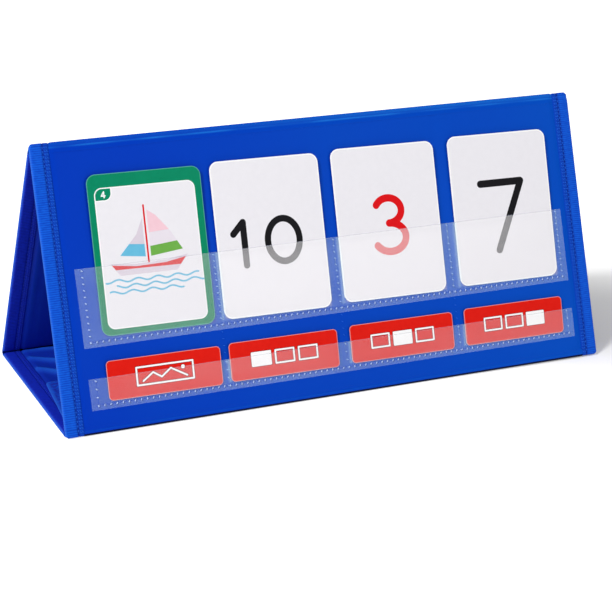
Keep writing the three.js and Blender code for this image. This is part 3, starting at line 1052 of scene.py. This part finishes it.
blue_thread = thread_finish("blue_thread", (18, 84, 206), (48, 124, 236))
inner_thread = thread_finish("inner_thread", (26, 50, 168), (44, 76, 206))
thread_runs = {
    "front": (foot_centre, ridge_start), "back": (ridge_end, rear_start), "base": (rear_end, ribbon_end),
}
for name, (start, end) in thread_runs.items():
    plane = ribbon_frame(start)
    panel_start, panel_end = panels[name]
    dipped = [pinched(fold["runs"], fold["pinch"]) for fold in folds.values()]
    outer_runs, inner_runs = stops(start, end, thread_bend_step), (panel_start, panel_end)
    parts = []
    for face, runs, thread in (("outer", outer_runs, blue_thread), ("inner", inner_runs, inner_thread)):
        overlocks, grooves = [], []
        for side in sides.values():
            for count, inset in enumerate(overlock_insets + (groove_inset,)):
                sunk = groove_sunk if inset == groove_inset else thread_sunk
                shift = count * overlock_pitch / 2
                line = []
                for run in np.clip(np.array(runs) + shift, start + thread_end_gap, end - thread_end_gap):
                    height = thread_rise - sunk - sum(dip(run) for dip in dipped)
                    if face == "inner":
                        height = sunk - thread_rise - panel_thickness
                    line.append((side * (half_width - inset), run - start, height))
                (grooves if inset == groove_inset else overlocks).append(line)
        parts.append(stitched(
            f"{name}_overlock_{face}", plane, overlocks,
            Stitch_Pitch=overlock_pitch, Stitch_Length=overlock_length,
            Turn=overlock_turn, Unevenness=0.3, Thread_Radius=thread_radius, Thread=thread,
        ))
        parts.append(stitched(
            f"{name}_straight_{face}", plane, grooves, Stitch_Pitch=groove_pitch, Stitch_Length=groove_stitch,
            Thread_Radius=thread_radius, Thread=thread,
        ))
    seam = joined(f"{name}_tape_seams", parts)
    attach(seam, name)

# Closing flap: brushed loop cloth, sewn to the inside of the front just above its foot, from
# where it bends and lies flat over the base. Its ends taper and its rear corners are round.
flap_axis = Vector(frame["joints"][2]["pos_m"])
flap_length = 70 * mm
flap_thickness = 1.2 * mm
flap_hinge_side = 190 * mm
flap_rear_side = 184.5 * mm
flap_straight = 14 * mm
flap_corner = 3 * mm
flap_leg_thickness = 0.4 * mm
flap_leg_top = 17 * mm
flap_leg_foot = 10.6 * mm
flap_leg_depth = 3.86 * mm
flap_step = 2.2 * mm
flap_bend_steps = 10
flap_wave = 0.35 * mm
flap_edge_width = 0.9 * mm
flap_bend_run = 1.6 * mm
flap_columns = 150
flap_thicken_run = 4 * mm
flap_lift_run = 20 * mm
flap_wave_length = 31 * mm
flap_wander_length = 26 * mm
flap_round_run = 1.5 * mm
flap_edge_start = 0.4 * mm
flap_deep, flap_light = (30, 42, 168), (15, 84, 218)
flap_edge_shade = (40, 104, 224)

leg_foot = front_plane @ Vector((0, flap_leg_foot, -flap_leg_depth))
leg_top = front_plane @ Vector((0, flap_leg_top, -flap_leg_depth))
bend_out = flap_axis + Vector((0, flap_bend_run, 0))
bend_pull = leg_foot + (leg_foot - leg_top).normalized() * 1.5 * mm
flap_path = [leg_top.lerp(leg_foot, share) for share in np.linspace(0, 1, 5)[:-1]]
for share in np.linspace(0, 1, flap_bend_steps + 1):
    flap_path.append(leg_foot.lerp(bend_pull, share).lerp(bend_pull.lerp(bend_out, share), share))
tail = flap_length - flap_bend_run
flap_runs = np.concatenate([
    stops(0, tail - flap_corner, flap_step)[1:],
    tail - flap_corner * (1 - np.sin(np.linspace(0, pi / 2, 9)[1:])),
])
flap_path += [bend_out + Vector((0, run, 0)) for run in flap_runs]
flap_places = np.array(flap_path)
tangents = np.gradient(flap_places, axis=0)
tangents /= np.linalg.norm(tangents, axis=1)[:, None]
flap_normals = np.stack([np.zeros(len(tangents)), -tangents[:, 2], tangents[:, 1]], -1)
flap_along = lengths_along(flap_places)
past_hinge = np.maximum(flap_places[:, 1] - flap_axis.y, 0)
taper = np.clip((past_hinge - flap_straight) / (flap_length - flap_straight), 0, 1)
half_flap = flap_hinge_side + (flap_rear_side - flap_hinge_side) * taper
rounding = np.clip((past_hinge - (flap_length - flap_corner)) / flap_corner, 0, 1)
half_flap = half_flap - flap_corner * (1 - np.sqrt(1 - rounding ** 2 * 0.98))
flap_half_thickness = (
    flap_leg_thickness + (flap_thickness - flap_leg_thickness) * eased(past_hinge / flap_thicken_run)
) / 2
spread = np.linspace(-1, 1, flap_columns)
across = half_flap[:, None] * spread[None, :]
along = flap_along[:, None] * np.ones_like(across)
lift = flap_wave * eased(past_hinge / flap_lift_run)[:, None] * (
    0.5 + 0.5 * np.sin(across / flap_wave_length + 1.7 * np.sin(along / flap_wander_length))
)
edge_round = np.minimum(half_flap[:, None] - np.abs(across), flap_length - past_hinge[:, None])
edge_share = 0.55 + 0.45 * eased(edge_round / flap_round_run)
grids = [
    grid_over(
        flap_places, flap_normals, flap_half_thickness[:, None] * edge_share * direction + lift, across,
    )
    for direction in (1, -1)
]
turned_edge = 1 - eased((edge_round - flap_edge_start) / flap_edge_width)
flap = sheet_between("closing_flap_cloth", *grids, across, along, marks={"turned_edge": turned_edge})
brushed, brushed_tree, brushed_shader = woven(
    "brushed_flap_cloth", flap_deep, flap_light, 0.9, 0.9 * mm, 0.6, Specular_IOR_Level=0.08,
)
nap = node(brushed_tree, "ShaderNodeMapRange", {
    "Value": cloudy(brushed_tree, own_map(brushed_tree), 420.0), "From Min": 0.34, "From Max": 0.66,
}).outputs[0]
loops = between(brushed_tree, nap, flap_deep, flap_light)
edged = blended(brushed_tree, own_mark(brushed_tree, "turned_edge"), loops, linear(*flap_edge_shade))
brushed_tree.links.new(edged, brushed_shader.inputs["Base Color"])
flap.data.materials.append(brushed)
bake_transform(flap)
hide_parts("closure_flap")

# Hook and loop tape: two strips of pile on the base and two of hooks under the flap. The pile is
# a bed of short loops, the hooks are stiff moulded points in rows.
strip_length = 110 * mm
strip_width = 20 * mm
strip_selvedge = 1.2 * mm
hook_height = 0.13 * mm
hook_radius = 0.42 * mm
strip_round = 0.35 * mm

bristles, bristles_in, bristles_out = group_tree(
    "hook_field", "GeometryNodeTree",
    [("Backing", "Geometry", None), ("Field Length", "Float", strip_length - 2 * strip_selvedge),
     ("Field Width", "Float", strip_width - 2 * strip_selvedge), ("Columns", "Int", 58),
     ("Rows", "Int", 10), ("Height", "Float", hook_height), ("Radius", "Float", hook_radius),
     ("Rise", "Float", 0.0), ("Unevenness", "Float", 0.25 * mm), ("Seed", "Int", 11),
     ("Finish", "Material", None)],
    [("Strip", "Geometry")],
)
field = node(bristles, "GeometryNodeMeshGrid", {
    0: bristles_in["Field Length"], 1: bristles_in["Field Width"],
    2: bristles_in["Columns"], 3: bristles_in["Rows"],
})
reach = reckon(bristles, "MULTIPLY", bristles_in["Unevenness"], -1.0)
shifts = [
    node(bristles, "FunctionNodeRandomValue", {
        2: reach, 3: bristles_in["Unevenness"],
        "Seed": reckon(bristles, "ADD", bristles_in["Seed"], float(turn)),
    }, data_type="FLOAT").outputs[1]
    for turn in (0, 1)
]
shifted = node(bristles, "ShaderNodeCombineXYZ", {0: shifts[0], 1: shifts[1], 2: bristles_in["Rise"]})
scattered = node(bristles, "GeometryNodeSetPosition", {
    "Geometry": field.outputs[0], "Offset": shifted.outputs[0],
})
tuft = node(bristles, "GeometryNodeMeshIcoSphere", {"Radius": 1.0, "Subdivisions": 1})
tuft_size = node(bristles, "ShaderNodeCombineXYZ", {
    0: bristles_in["Radius"], 1: bristles_in["Radius"], 2: bristles_in["Height"],
})
tufts = node(bristles, "GeometryNodeInstanceOnPoints", {
    "Points": scattered.outputs[0], "Instance": tuft.outputs[0], "Scale": tuft_size.outputs[0],
})
both = node(bristles, "GeometryNodeJoinGeometry")
bristles.links.new(tufts.outputs[0], both.inputs[0])
bristles.links.new(bristles_in["Backing"], both.inputs[0])
bristles.links.new(painted(bristles, both.outputs[0], bristles_in["Finish"]), bristles_out["Strip"])

pile, pile_tree, pile_shader = principled(
    "pile_and_hooks", (16, 34, 82), 0.85, Specular_IOR_Level=0.2, Sheen_Weight=0.3,
)
pile_depth = cloudy(pile_tree, own_place(pile_tree), 1200.0)
pile_shade = between(pile_tree, pile_depth, (10, 24, 66), (34, 58, 120))
pile_tree.links.new(pile_shade, pile_shader.inputs["Base Color"])


def strip_stops(length):
    """The four places across a strip: its two ends and where its rounding starts."""
    rounded = 2 * strip_round / length
    return np.array([-1, -1 + rounded, 1 - rounded, 1]) * length / 2


for word, side in sides.items():
    for kind, body, up in (("hook", "flap", -1), ("loop", "base", 1)):
        low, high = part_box(f"{kind}_strip_{word}")
        middle = (low + high) / 2
        thickness = high.z - low.z
        across, along = np.meshgrid(strip_stops(strip_length), strip_stops(strip_width))
        from_edge = np.minimum(strip_length / 2 - np.abs(across), strip_width / 2 - np.abs(along))
        rim = from_edge < strip_round / 2
        top = thickness / 2 - hook_height - rim * strip_round / 2
        outer = np.stack([across, along, top], -1)
        inner = np.stack([across, along, 0 * across - thickness / 2], -1)
        strip = sheet_between(f"{kind}_tape_{word}", outer, inner, across, along)
        grown(strip, bristles, Seed=11 + side, Rise=thickness / 2 - hook_height, Finish=pile)
        turn = Matrix.Rotation(pi, 4, "X") if up < 0 else Matrix.Identity(4)
        strip.data.transform(Matrix.Translation(middle) @ turn)
        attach(strip, body)
        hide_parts(f"{kind}_strip_{word}")

# Pocket films: two strips of clear vinyl, sewn to the front along their foot, their ends and
# between the pockets. Over each card the film stands off the cloth, and its mouth gapes a little.
film_width = 352.4 * mm
film_shift = 0.9 * mm
film_thickness = 0.35 * mm
film_seated = layer_gap + film_thickness
side_seam = 4.5 * mm
pocket_pitch = 84.9 * mm
seam_shift = 2.25 * mm
insert_thickness = 0.4 * mm
insert_slack = 0.3 * mm
crown_share = 1.08
crown_power = 10
mouth_gape = 0.35 * mm
# Tints and strengths of the film's haze, painted as light scattered from what lies behind it, and of its
# painted sheen beside the cards
veil_blue = (209, 242, 252)
veil_white = (246, 244, 247)
bare_veil, rim_veil = 0.045, 0.32
rim_shade = (112, 124, 160)
sheen_veil, sheen_inset, sheen_width = 0.13, 1.3 * mm, 1.0 * mm
rim_width = 0.42 * mm
sheen_streak_share = 0.08
mouth_run = 7 * mm
slack_run = 12 * mm
film_step = 1.0 * mm
film_slack = 0.25 * mm
stitch_dip = 0.12 * mm
stitch_dip_width = 0.7 * mm
over_card_edge = 1.0 * mm
cards = {
    "width": 76.2 * mm, "height": 102.0 * mm, "corner": 6.0 * mm, "hem": 55.4 * mm, "stitch": 58.6 * mm,
    "crease": 59.7 * mm, "mouth": 105.5 * mm, "foot": 60.7 * mm, "lean": radians(0.8), "turn": radians(-0.8),
    "shift_shares": (0.07, -0.2, -0.12, 0.14), "film": "card_pocket_film", "seed": 5,
    "veils": (0.022, 0.13, 0.13, 0.13),
}
labels = {
    "width": 76.8 * mm, "height": 25.2 * mm, "corner": 2.8 * mm, "hem": 16.0 * mm, "stitch": 18.8 * mm,
    "crease": 19.6 * mm, "mouth": 35.9 * mm, "foot": 20.4 * mm, "lean": radians(2.4), "turn": radians(-0.5),
    "shift_shares": (0.02, -0.23, -0.07, 0.07), "film": "label_pocket_film", "seed": 9,
    "veils": (0.025, 0.025, 0.025, 0.025),
}
film_left = film_shift - film_width / 2
film_right = film_shift + film_width / 2
film_seams = [
    film_left + side_seam, *(seam_shift + step * pocket_pitch for step in (-1, 0, 1)), film_right - side_seam,
]


def slot_frame(pocket, cell):
    """The frame of what stands in a pocket: x across it, y up the way it slides out, z outwards."""
    middle = seam_shift + (cell - 1.5) * pocket_pitch
    spare = pocket_pitch - pocket["width"]
    place = Vector((middle + spare * pocket["shift_shares"][cell], pocket["foot"], layer_gap))
    lean, turn = Matrix.Rotation(pocket["lean"], 4, "X"), Matrix.Rotation(pocket["turn"], 4, "Z")
    return front_plane @ Matrix.Translation(place) @ lean @ turn


def crown(across):
    """How far the film stands off between its seams, from 0 at a seam to 1 over the card."""
    total = np.zeros_like(across)
    for left, right in zip(film_seams, film_seams[1:]):
        reach = np.abs(across - (left + right) / 2) / ((right - left) / 2)
        total = np.maximum(total, (1 - np.clip(reach, 0, 1) ** crown_power) ** (1 / crown_power))
    return total


def veils(pocket, across, along):
    """Where the film lies over a card, how far it hides what stands behind it, and its cut edge. The haze
    over each card and the sheen beside each card's left edge are painted light.
    """
    over_card, veil = np.zeros_like(across), np.full_like(across, bare_veil)
    for cell, card_veil in enumerate(pocket["veils"]):
        local = (front_plane.inverted() @ slot_frame(pocket, cell)).inverted()
        x = local[0][0] * across + local[0][1] * along + local[0][3]
        y = local[1][0] * across + local[1][1] * along + local[1][3]
        over = eased(np.minimum(pocket["width"] / 2 - np.abs(x), y) / over_card_edge)
        beside = (x + pocket["width"] / 2 + sheen_inset) / sheen_width
        sheen = np.exp(-beside ** 2) * (cell > 0) * (y > 0)
        over_card = np.maximum(over_card, over)
        veil += (card_veil - bare_veil) * over + sheen_veil * sheen
    rim = np.clip(1 - (pocket["mouth"] - along) / rim_width, 0, 1)
    return {"over_card": over_card, "veil": veil + (rim_veil - veil) * rim, "rim": rim}


# Film haze tinted as painted scattered light: blue over the cloth, white over the cards. Its strength over
# each card is painted to suit that card, and its diagonal streaks are painted sheen
vinyl, vinyl_tree, vinyl_shader = principled("clear_vinyl", veil_blue, 0.16, Specular_IOR_Level=0.2)
sheen_streak_map = node(vinyl_tree, "ShaderNodeMapping", {
    "Vector": own_map(vinyl_tree), "Rotation": (0, 0, radians(38)), "Scale": (7, 26, 1),
})
streak = node(vinyl_tree, "ShaderNodeTexNoise", {
    "Vector": sheen_streak_map.outputs[0], "Scale": 1.0, "Detail": 2.0,
}).outputs[0]
haze = reckon(vinyl_tree, "MULTIPLY_ADD", streak, sheen_streak_share, own_mark(vinyl_tree, "veil"))
vinyl_path = node(vinyl_tree, "ShaderNodeLightPath").outputs
passing = reckon(vinyl_tree, "ADD", vinyl_path["Is Shadow Ray"], vinyl_path["Is Diffuse Ray"])
held_back = clamped(vinyl_tree, "SUBTRACT", 1.0, passing)
vinyl_tree.links.new(reckon(vinyl_tree, "MULTIPLY", haze, held_back), vinyl_shader.inputs["Alpha"])
film_veil = between(vinyl_tree, own_mark(vinyl_tree, "over_card"), veil_blue, veil_white)
film_shade = blended(vinyl_tree, own_mark(vinyl_tree, "rim"), film_veil, linear(*rim_shade))
vinyl_tree.links.new(film_shade, vinyl_shader.inputs["Base Color"])

seam_offsets = (-1.5, -1, -0.6, -0.3, 0, 0.3, 0.6, 1, 1.5)
for pocket in (cards, labels):
    near_seams = [place + shift * mm for place in film_seams for shift in seam_offsets]
    columns = np.unique(np.concatenate([stops(film_left, film_right, film_step), near_seams]).round(6))
    rows = np.unique(np.concatenate([
        stops(pocket["hem"], pocket["stitch"], film_step),
        stops(pocket["stitch"], pocket["crease"], film_step / 4),
        stops(pocket["crease"], pocket["mouth"], film_step), [pocket["mouth"] - rim_width],
    ]).round(6))
    across, along = np.meshgrid(columns, rows)
    room = film_seated + insert_thickness + insert_slack + (along - pocket["foot"]) * tan(pocket["lean"])
    opened = eased((along - pocket["stitch"]) / (pocket["crease"] - pocket["stitch"]))
    gape = mouth_gape * eased((along - pocket["mouth"] + mouth_run) / mouth_run) ** 2
    slack = swells(across, along, film_slack, pocket["seed"])
    slack = slack * eased((along - pocket["crease"]) / slack_run)
    height = film_seated + ((room * crown_share - layer_gap) + gape + slack) * crown(across) * opened
    height -= stitch_dip * np.exp(-((along - pocket["stitch"]) / stitch_dip_width) ** 2)
    outer = np.stack([across, along, height], -1)
    inner = np.stack([across, along, height - film_thickness], -1)
    film = sheet_between(
        pocket["film"].replace("film", "vinyl"), outer, inner, across, along,
        marks=veils(pocket, across, along),
    )
    film.data.transform(front_plane)
    film.data.materials.append(vinyl)
    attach(film, "front")
    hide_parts(pocket["film"])

# Seams of the films: short slanting stitches in pale thread, painted pale as glints of the vinyl at the
# needle holes; the glints are painted brightest along the left end and the foot. Between the two films the
# pocket seams run on over the bare cloth in blue thread.
film_stitch_pitch = 4.0 * mm
film_stitch_length = 1.8 * mm
film_stitch_turn = radians(62)
film_thread_radius = 0.42 * mm
seam_end_gap = 1.5 * mm
pale_thread = thread_finish("pale_thread", (156, 184, 236), (208, 222, 250), 0.4)
faint_thread = thread_finish("faint_thread", (118, 152, 226), (170, 196, 240), 0.5)
bright_rows, faint_rows, cloth_rows = [], [], []
for pocket in (cards, labels):
    stitch, mouth = pocket["stitch"], pocket["mouth"] - seam_end_gap
    bright_rows.append([(film_seams[0], stitch, film_seated), (film_seams[-1], stitch, film_seated)])
    bright_rows.append([(film_seams[0], stitch, film_seated), (film_seams[0], mouth, film_seated)])
    for seam in film_seams[1:]:
        faint_rows.append([(seam, stitch, film_seated), (seam, mouth, film_seated)])
for seam in seam_places:
    cloth_rows.append([(seam, labels["mouth"], 0.0), (seam, cards["hem"] - seam_end_gap, 0.0)])
parts = [
    stitched(
        name, front_plane, rows, seed=seed, Stitch_Pitch=film_stitch_pitch,
        Stitch_Length=film_stitch_length, Turn=film_stitch_turn, Unevenness=0.35,
        Thread_Radius=radius, Thread=thread,
    )
    for name, rows, seed, radius, thread in (
        ("bright_rows", bright_rows, 7, film_thread_radius, pale_thread),
        ("faint_rows", faint_rows, 8, film_thread_radius, faint_thread),
        ("cloth_rows", cloth_rows, 9, thread_radius, blue_thread),
    )
]
film_seam = joined("film_seams", parts)
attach(film_seam, "front")

# Cards: heavy coated stock with round corners, die cut, so that an unprinted white edge shows
# round the print. The three white ones carry a large plain numeral in one round-ended stroke.
card_edge = 0.9 * mm
card_bevel = 0.08 * mm
ink_step = 0.02 * mm
card_tooth = 0.02 * mm
corner_steps = 14


def rounded_rectangle(left, bottom, right, top, radii):
    """Outline of a rectangle, with a radius for each corner from the bottom right, anticlockwise."""
    corners = (
        (right, bottom, 1, -1, -pi / 2), (right, top, 1, 1, 0),
        (left, top, -1, 1, pi / 2), (left, bottom, -1, -1, pi),
    )
    outline = []
    for (x, y, sx, sy, start), radius in zip(corners, radii):
        for step in range(corner_steps + 1):
            turn = start + pi / 2 * step / corner_steps
            outline.append((x - sx * radius + radius * cos(turn), y - sy * radius + radius * sin(turn)))
    return outline


def slab(shapes, low, high):
    """Points and faces of flat shapes, merged where they overlap, between two heights."""
    corners, rings = [], []
    for shape in shapes:
        rings.append(list(range(len(corners), len(corners) + len(shape))))
        corners += [Vector(corner) for corner in shape]
    flat, _, faces, _, _, owners = delaunay_2d_cdt(corners, [], rings, 1, 1e-7)
    count = len(flat)
    faces = [list(face) for face, owner in zip(faces, owners) if owner]
    edges = {}
    for face in faces:
        for a, b in zip(face, face[1:] + face[:1]):
            edges[(a, b)] = edges.get((a, b), 0) + 1
    points = [(p.x, p.y, high) for p in flat] + [(p.x, p.y, low) for p in flat]
    walls = [(a, a + count, b + count, b) for a, b in edges if (b, a) not in edges]
    return points, faces + [[i + count for i in reversed(face)] for face in faces] + walls


def printed(name, place, layers):
    """A stack of flat shapes, each layer (shapes, low, high, material), as one piece."""
    mesh = bpy.data.meshes.new(name)
    points, faces, slots = [], [], []
    for number, (shapes, low, high, _) in enumerate(layers):
        more, rings = slab(shapes, low, high)
        faces += [[i + len(points) for i in ring] for ring in rings]
        slots += [number] * len(rings)
        points += more
    mesh.from_pydata(points, [], faces)
    for _, _, _, material in layers:
        mesh.materials.append(material)
    mesh.polygons.foreach_set("material_index", slots)
    mesh.transform(place)
    return in_scene(name, mesh)


def stroke(path, width, sides=20):
    """Shapes that together make a stroke of one width along a path, with round ends and joints."""
    shapes = []
    half = width / 2
    for x, y in path:
        turns = [2 * pi * i / sides for i in range(sides)]
        shapes.append([(x + half * cos(turn), y + half * sin(turn)) for turn in turns])
    for (ax, ay), (bx, by) in zip(path, path[1:]):
        aside = Vector((by - ay, ax - bx)).normalized() * half
        shapes.append([
            (ax - aside.x, ay - aside.y), (ax + aside.x, ay + aside.y),
            (bx + aside.x, by + aside.y), (bx - aside.x, by - aside.y),
        ])
    return shapes


def bow(x, y, rx, ry, start, end, steps=22):
    """Points on an ellipse from one angle to another, in degrees."""
    return [
        (x + rx * cos(radians(turn)), y + ry * sin(radians(turn)))
        for turn in np.linspace(start, end, steps + 1)
    ]


numeral_paths = {
    "0": [bow(0, 0.5, 0.40, 0.5, 90, 450, 44)],
    "1": [[(-0.26, 0.74), (0, 1.0), (0, 0)]],
    "3": [bow(0, 0.765, 0.27, 0.235, 150, -90), bow(0, 0.265, 0.32, 0.265, 90, -150)],
    "4": [[(0.16, 0.0), (0.16, 1.0), (-0.3, 0.3), (0.36, 0.3)]],
    "7": [[(-0.34, 1.0), (0.34, 1.0), (-0.12, 0.0)]],
}


def numeral(figure, x, y, height, width):
    """A numeral of the given height over its strokes' middles, centred on x and standing on y."""
    shapes = []
    for path in numeral_paths[figure]:
        shapes += stroke([(x + px * height, y + py * height) for px, py in path], width)
    return shapes


def stock(name, low, high, roughness=0.38):
    """Coated card: faintly mottled ink under a satin varnish."""
    material, tree, shader = principled(name, high, roughness, Specular_IOR_Level=0.03)
    place = own_place(tree)
    mottle = cloudy(tree, place, 260.0, 5.0)
    tree.links.new(between(tree, mottle, low, high), shader.inputs["Base Color"])
    embossed(tree, shader, 0.05, card_tooth, cloudy(tree, place, 3000.0))
    return material


bare_white = stock("bare_card_edge", (250, 250, 251), (255, 255, 255))
soft_white = stock("white_print", (233, 231, 236), (238, 236, 241))
black_ink = stock("black_ink", (16, 16, 19), (24, 23, 27))
red_ink = stock("red_ink", (214, 12, 20), (224, 18, 26))


def card_outline(pocket, inset=0.0):
    """Outline of what stands in a pocket, drawn in all round by an inset."""
    side, height = pocket["width"] / 2, pocket["height"]
    return rounded_rectangle(
        inset - side, inset, side - inset, height - inset, [pocket["corner"] - inset] * 4,
    )


ink_low = insert_thickness / 2


def card_layers(pocket, edge_material, face_material, edge=card_edge):
    """The card itself with its bare edge, and its printed face a hair above it."""
    return [
        ([card_outline(pocket)], card_bevel, insert_thickness - card_bevel, edge_material),
        ([card_outline(pocket, card_bevel)], 0.0, insert_thickness, edge_material),
        ([card_outline(pocket, edge)], ink_low, insert_thickness + ink_step, face_material),
    ]


numeral_cards = [
    ("character_card_1", black_ink, [("1", -19.0, 33.5), ("0", 8.5, 33.5)], 28.0, 4.4),
    ("character_card_2", red_ink, [("3", 0.0, 30.5)], 36.0, 5.0),
    ("character_card_3", black_ink, [("7", 0.0, 22.0)], 46.0, 5.0),
]
for cell, (name, ink, figures, height, width) in enumerate(numeral_cards, start=1):
    layers = card_layers(cards, bare_white, soft_white)
    shapes = []
    for figure, x, y in figures:
        shapes += numeral(figure, x * mm, y * mm, height * mm, width * mm)
    layers.append((shapes, ink_low, insert_thickness + 2 * ink_step, ink))
    card = printed(f"number_card_{cell}", slot_frame(cards, cell), layers)
    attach(card, name)
    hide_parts(name)

# Picture card: green border, a white keyline, and a small plain picture of a sailing boat. A
# leaf-shaped tab in the corner carries the card's number.
green_ink = stock("green_ink", (3, 128, 91), (7, 140, 101))
pale_green_edge = stock("pale_green_edge", (72, 158, 140), (92, 172, 156))
border_edge = 0.5 * mm
mauve_ink = stock("mauve_ink", (214, 203, 216), (222, 212, 223))
pale_mauve_ink = stock("pale_mauve_ink", (229, 221, 231), (234, 227, 235))
leaf_ink = stock("leaf_green_ink", (104, 168, 70), (116, 178, 80))
water_ink = stock("water_blue_ink", (96, 182, 216), (112, 192, 224))
pink_ink = stock("pink_ink", (240, 196, 208), (246, 208, 218))
border_left, border_top, border_right, border_bottom = 4.3 * mm, 8.75 * mm, 4.75 * mm, 3.9 * mm
keyline = 0.7 * mm
panel_corner = 5.0 * mm
tab_width, tab_height = 10.2 * mm, 7.2 * mm
side, height = cards["width"] / 2, cards["height"]
frame_box = (border_left - side, border_bottom, side - border_right, height - border_top)
panel_box = tuple(edge + shift * keyline for edge, shift in zip(frame_box, (1, 1, -1, -1)))
tab_box = (panel_box[0], panel_box[3] - tab_height, panel_box[0] + tab_width, panel_box[3])
tab_key = (tab_box[0], tab_box[1] - keyline, tab_box[2] + keyline, tab_box[3])
tab_figure = (tab_box[0] + 0.5 * tab_width, tab_box[1] + 0.22 * tab_height)
tab_figure_height, tab_figure_stroke = 3.8 * mm, 0.75 * mm
sharp = 0.3 * mm
boat_line = 1.1 * mm


def scaled(points, x, y):
    """Points of a drawing in millimetres, moved to its place on the card."""
    return [((px + x) * mm, (py + y) * mm) for px, py in points]


boat_x, boat_y = -1.0, 36.0
hull = scaled([(-27, 9), (-21, 1), (17, 1), (25, 10.5), (10, 8.2), (-10, 7.6)], boat_x, boat_y)
hull_band = scaled(
    [(-26.2, 8), (-23.8, 4.8), (19.6, 4.4), (23.6, 9.0), (10, 6.6), (-10, 6.0)], boat_x, boat_y,
)
mast = stroke(scaled([(-1.5, 8), (-1.5, 44)], boat_x, boat_y), boat_line)
main_sail = scaled([(0.4, 11.5), (22, 14), (15, 26), (6, 37), (0.4, 41)], boat_x, boat_y)
main_panel_low = scaled([(0.4, 11.5), (22, 14), (18.7, 19.6), (0.4, 17.8)], boat_x, boat_y)
main_panel_high = scaled([(0.4, 26.5), (14, 27.3), (6, 37), (0.4, 41)], boat_x, boat_y)
fore_sail = scaled([(-3.2, 36), (-8, 26), (-20, 13.5), (-3.2, 11.5)], boat_x, boat_y)
fore_panel = scaled([(-3.2, 19.4), (-13.4, 20.4), (-20, 13.5), (-3.2, 11.5)], boat_x, boat_y)
pennant = scaled([(-1.0, 43.6), (8.5, 41.6), (-1.0, 39.8)], boat_x, boat_y)
waves = []
for row, (start, end) in enumerate(((-31, 31), (-24, 34), (-29, 20))):
    swell = [(x, -2.2 - 3.6 * row + 0.9 * sin(x / 2.1 + row)) for x in np.linspace(start, end, 60)]
    waves += stroke(scaled(swell, boat_x, boat_y), boat_line, 8)
layers = card_layers(cards, pale_green_edge, green_ink, border_edge)
drawing = [
    ([rounded_rectangle(*frame_box, [panel_corner] * 4)], 2, bare_white),
    ([rounded_rectangle(*panel_box, [panel_corner - keyline] * 4)], 3, soft_white),
    ([rounded_rectangle(*tab_key, [panel_corner, sharp, panel_corner - keyline, sharp])], 4, bare_white),
    ([rounded_rectangle(*tab_box, [panel_corner - keyline, sharp] * 2)], 5, green_ink),
    (numeral("4", *tab_figure, tab_figure_height, tab_figure_stroke), 6, bare_white),
    ([hull, fore_sail], 4, mauve_ink),
    ([main_sail], 4, pale_mauve_ink),
    ([main_panel_low], 5, leaf_ink),
    ([main_panel_high], 5, pink_ink),
    ([fore_panel], 5, water_ink),
    ([hull_band, pennant] + mast, 5, red_ink),
    (waves, 4, water_ink),
]
for shapes, level_number, ink in drawing:
    layers.append((shapes, ink_low, insert_thickness + level_number * ink_step, ink))
card = printed("boat_picture_card", slot_frame(cards, 0), layers)
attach(card, "picture_card")
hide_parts("picture_card")

# Labels: red cards in the lower pockets. The first shows a picture sign, the others three boxes
# with the first, the middle or the last one filled, in white with a thin dark outline.
label_edge = 0.35 * mm
sign_stroke = 1.15 * mm
sign_outline = 0.35 * mm
box_side = 8.4 * mm
box_width_share = 1.55
box_width = box_side * box_width_share
box_gap = 3.6 * mm
sign_foot = 8.4 * mm
picture_half = 19 * mm
picture_drop = 1.2 * mm
picture_height = 11.4 * mm
sun_place = (12.2 * mm, 15.4 * mm)
sun_size = 2.6 * mm
pale_red = stock("pale_red_edge", (240, 140, 128), (246, 160, 148))
label_red = stock("label_red", (216, 22, 14), (228, 32, 20))
outline_red = stock("dark_red_outline", (108, 10, 12), (122, 14, 16))
sign_white = stock("white_figures", (250, 250, 250), (255, 255, 255))


def box_outline(x, y, width, height):
    """The path round a box."""
    return [(x, y), (x + width, y), (x + width, y + height), (x, y + height), (x, y)]


def sign(cell, widen):
    """The white figures of a label, made broader by widen for their outline."""
    width = sign_stroke + 2 * widen
    if cell == 0:
        box = box_outline(-picture_half, sign_foot - picture_drop, 2 * picture_half, picture_height)
        shapes = stroke(box, width)
        hills = [(-15, 9.6), (-8, 14.4), (-2.5, 10.8), (4, 15.6), (14.6, 9.6)]
        shapes += stroke([(x * mm, y * mm) for x, y in hills], width)
        return shapes + stroke([sun_place], sun_size + 2 * widen)
    shapes = []
    pitch = box_width + box_gap
    for place in (1, 2, 3):
        x = (place - 2) * pitch - box_width / 2
        path = box_outline(x, sign_foot, box_width, box_side)
        shapes += stroke(path, width)
        if place == cell:
            shapes.append(path[:-1])
    return shapes


for cell in range(4):
    layers = [
        ([card_outline(labels)], 0.0, insert_thickness, pale_red),
        ([card_outline(labels, label_edge)], ink_low, insert_thickness + ink_step, label_red),
        (sign(cell, sign_outline), ink_low, insert_thickness + 2 * ink_step, outline_red),
        (sign(cell, 0.0), ink_low, insert_thickness + 3 * ink_step, sign_white),
    ]
    label = printed(f"red_label_{cell + 1}", slot_frame(labels, cell), layers)
    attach(label, f"label_card_{cell + 1}")
    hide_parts(f"label_card_{cell + 1}")
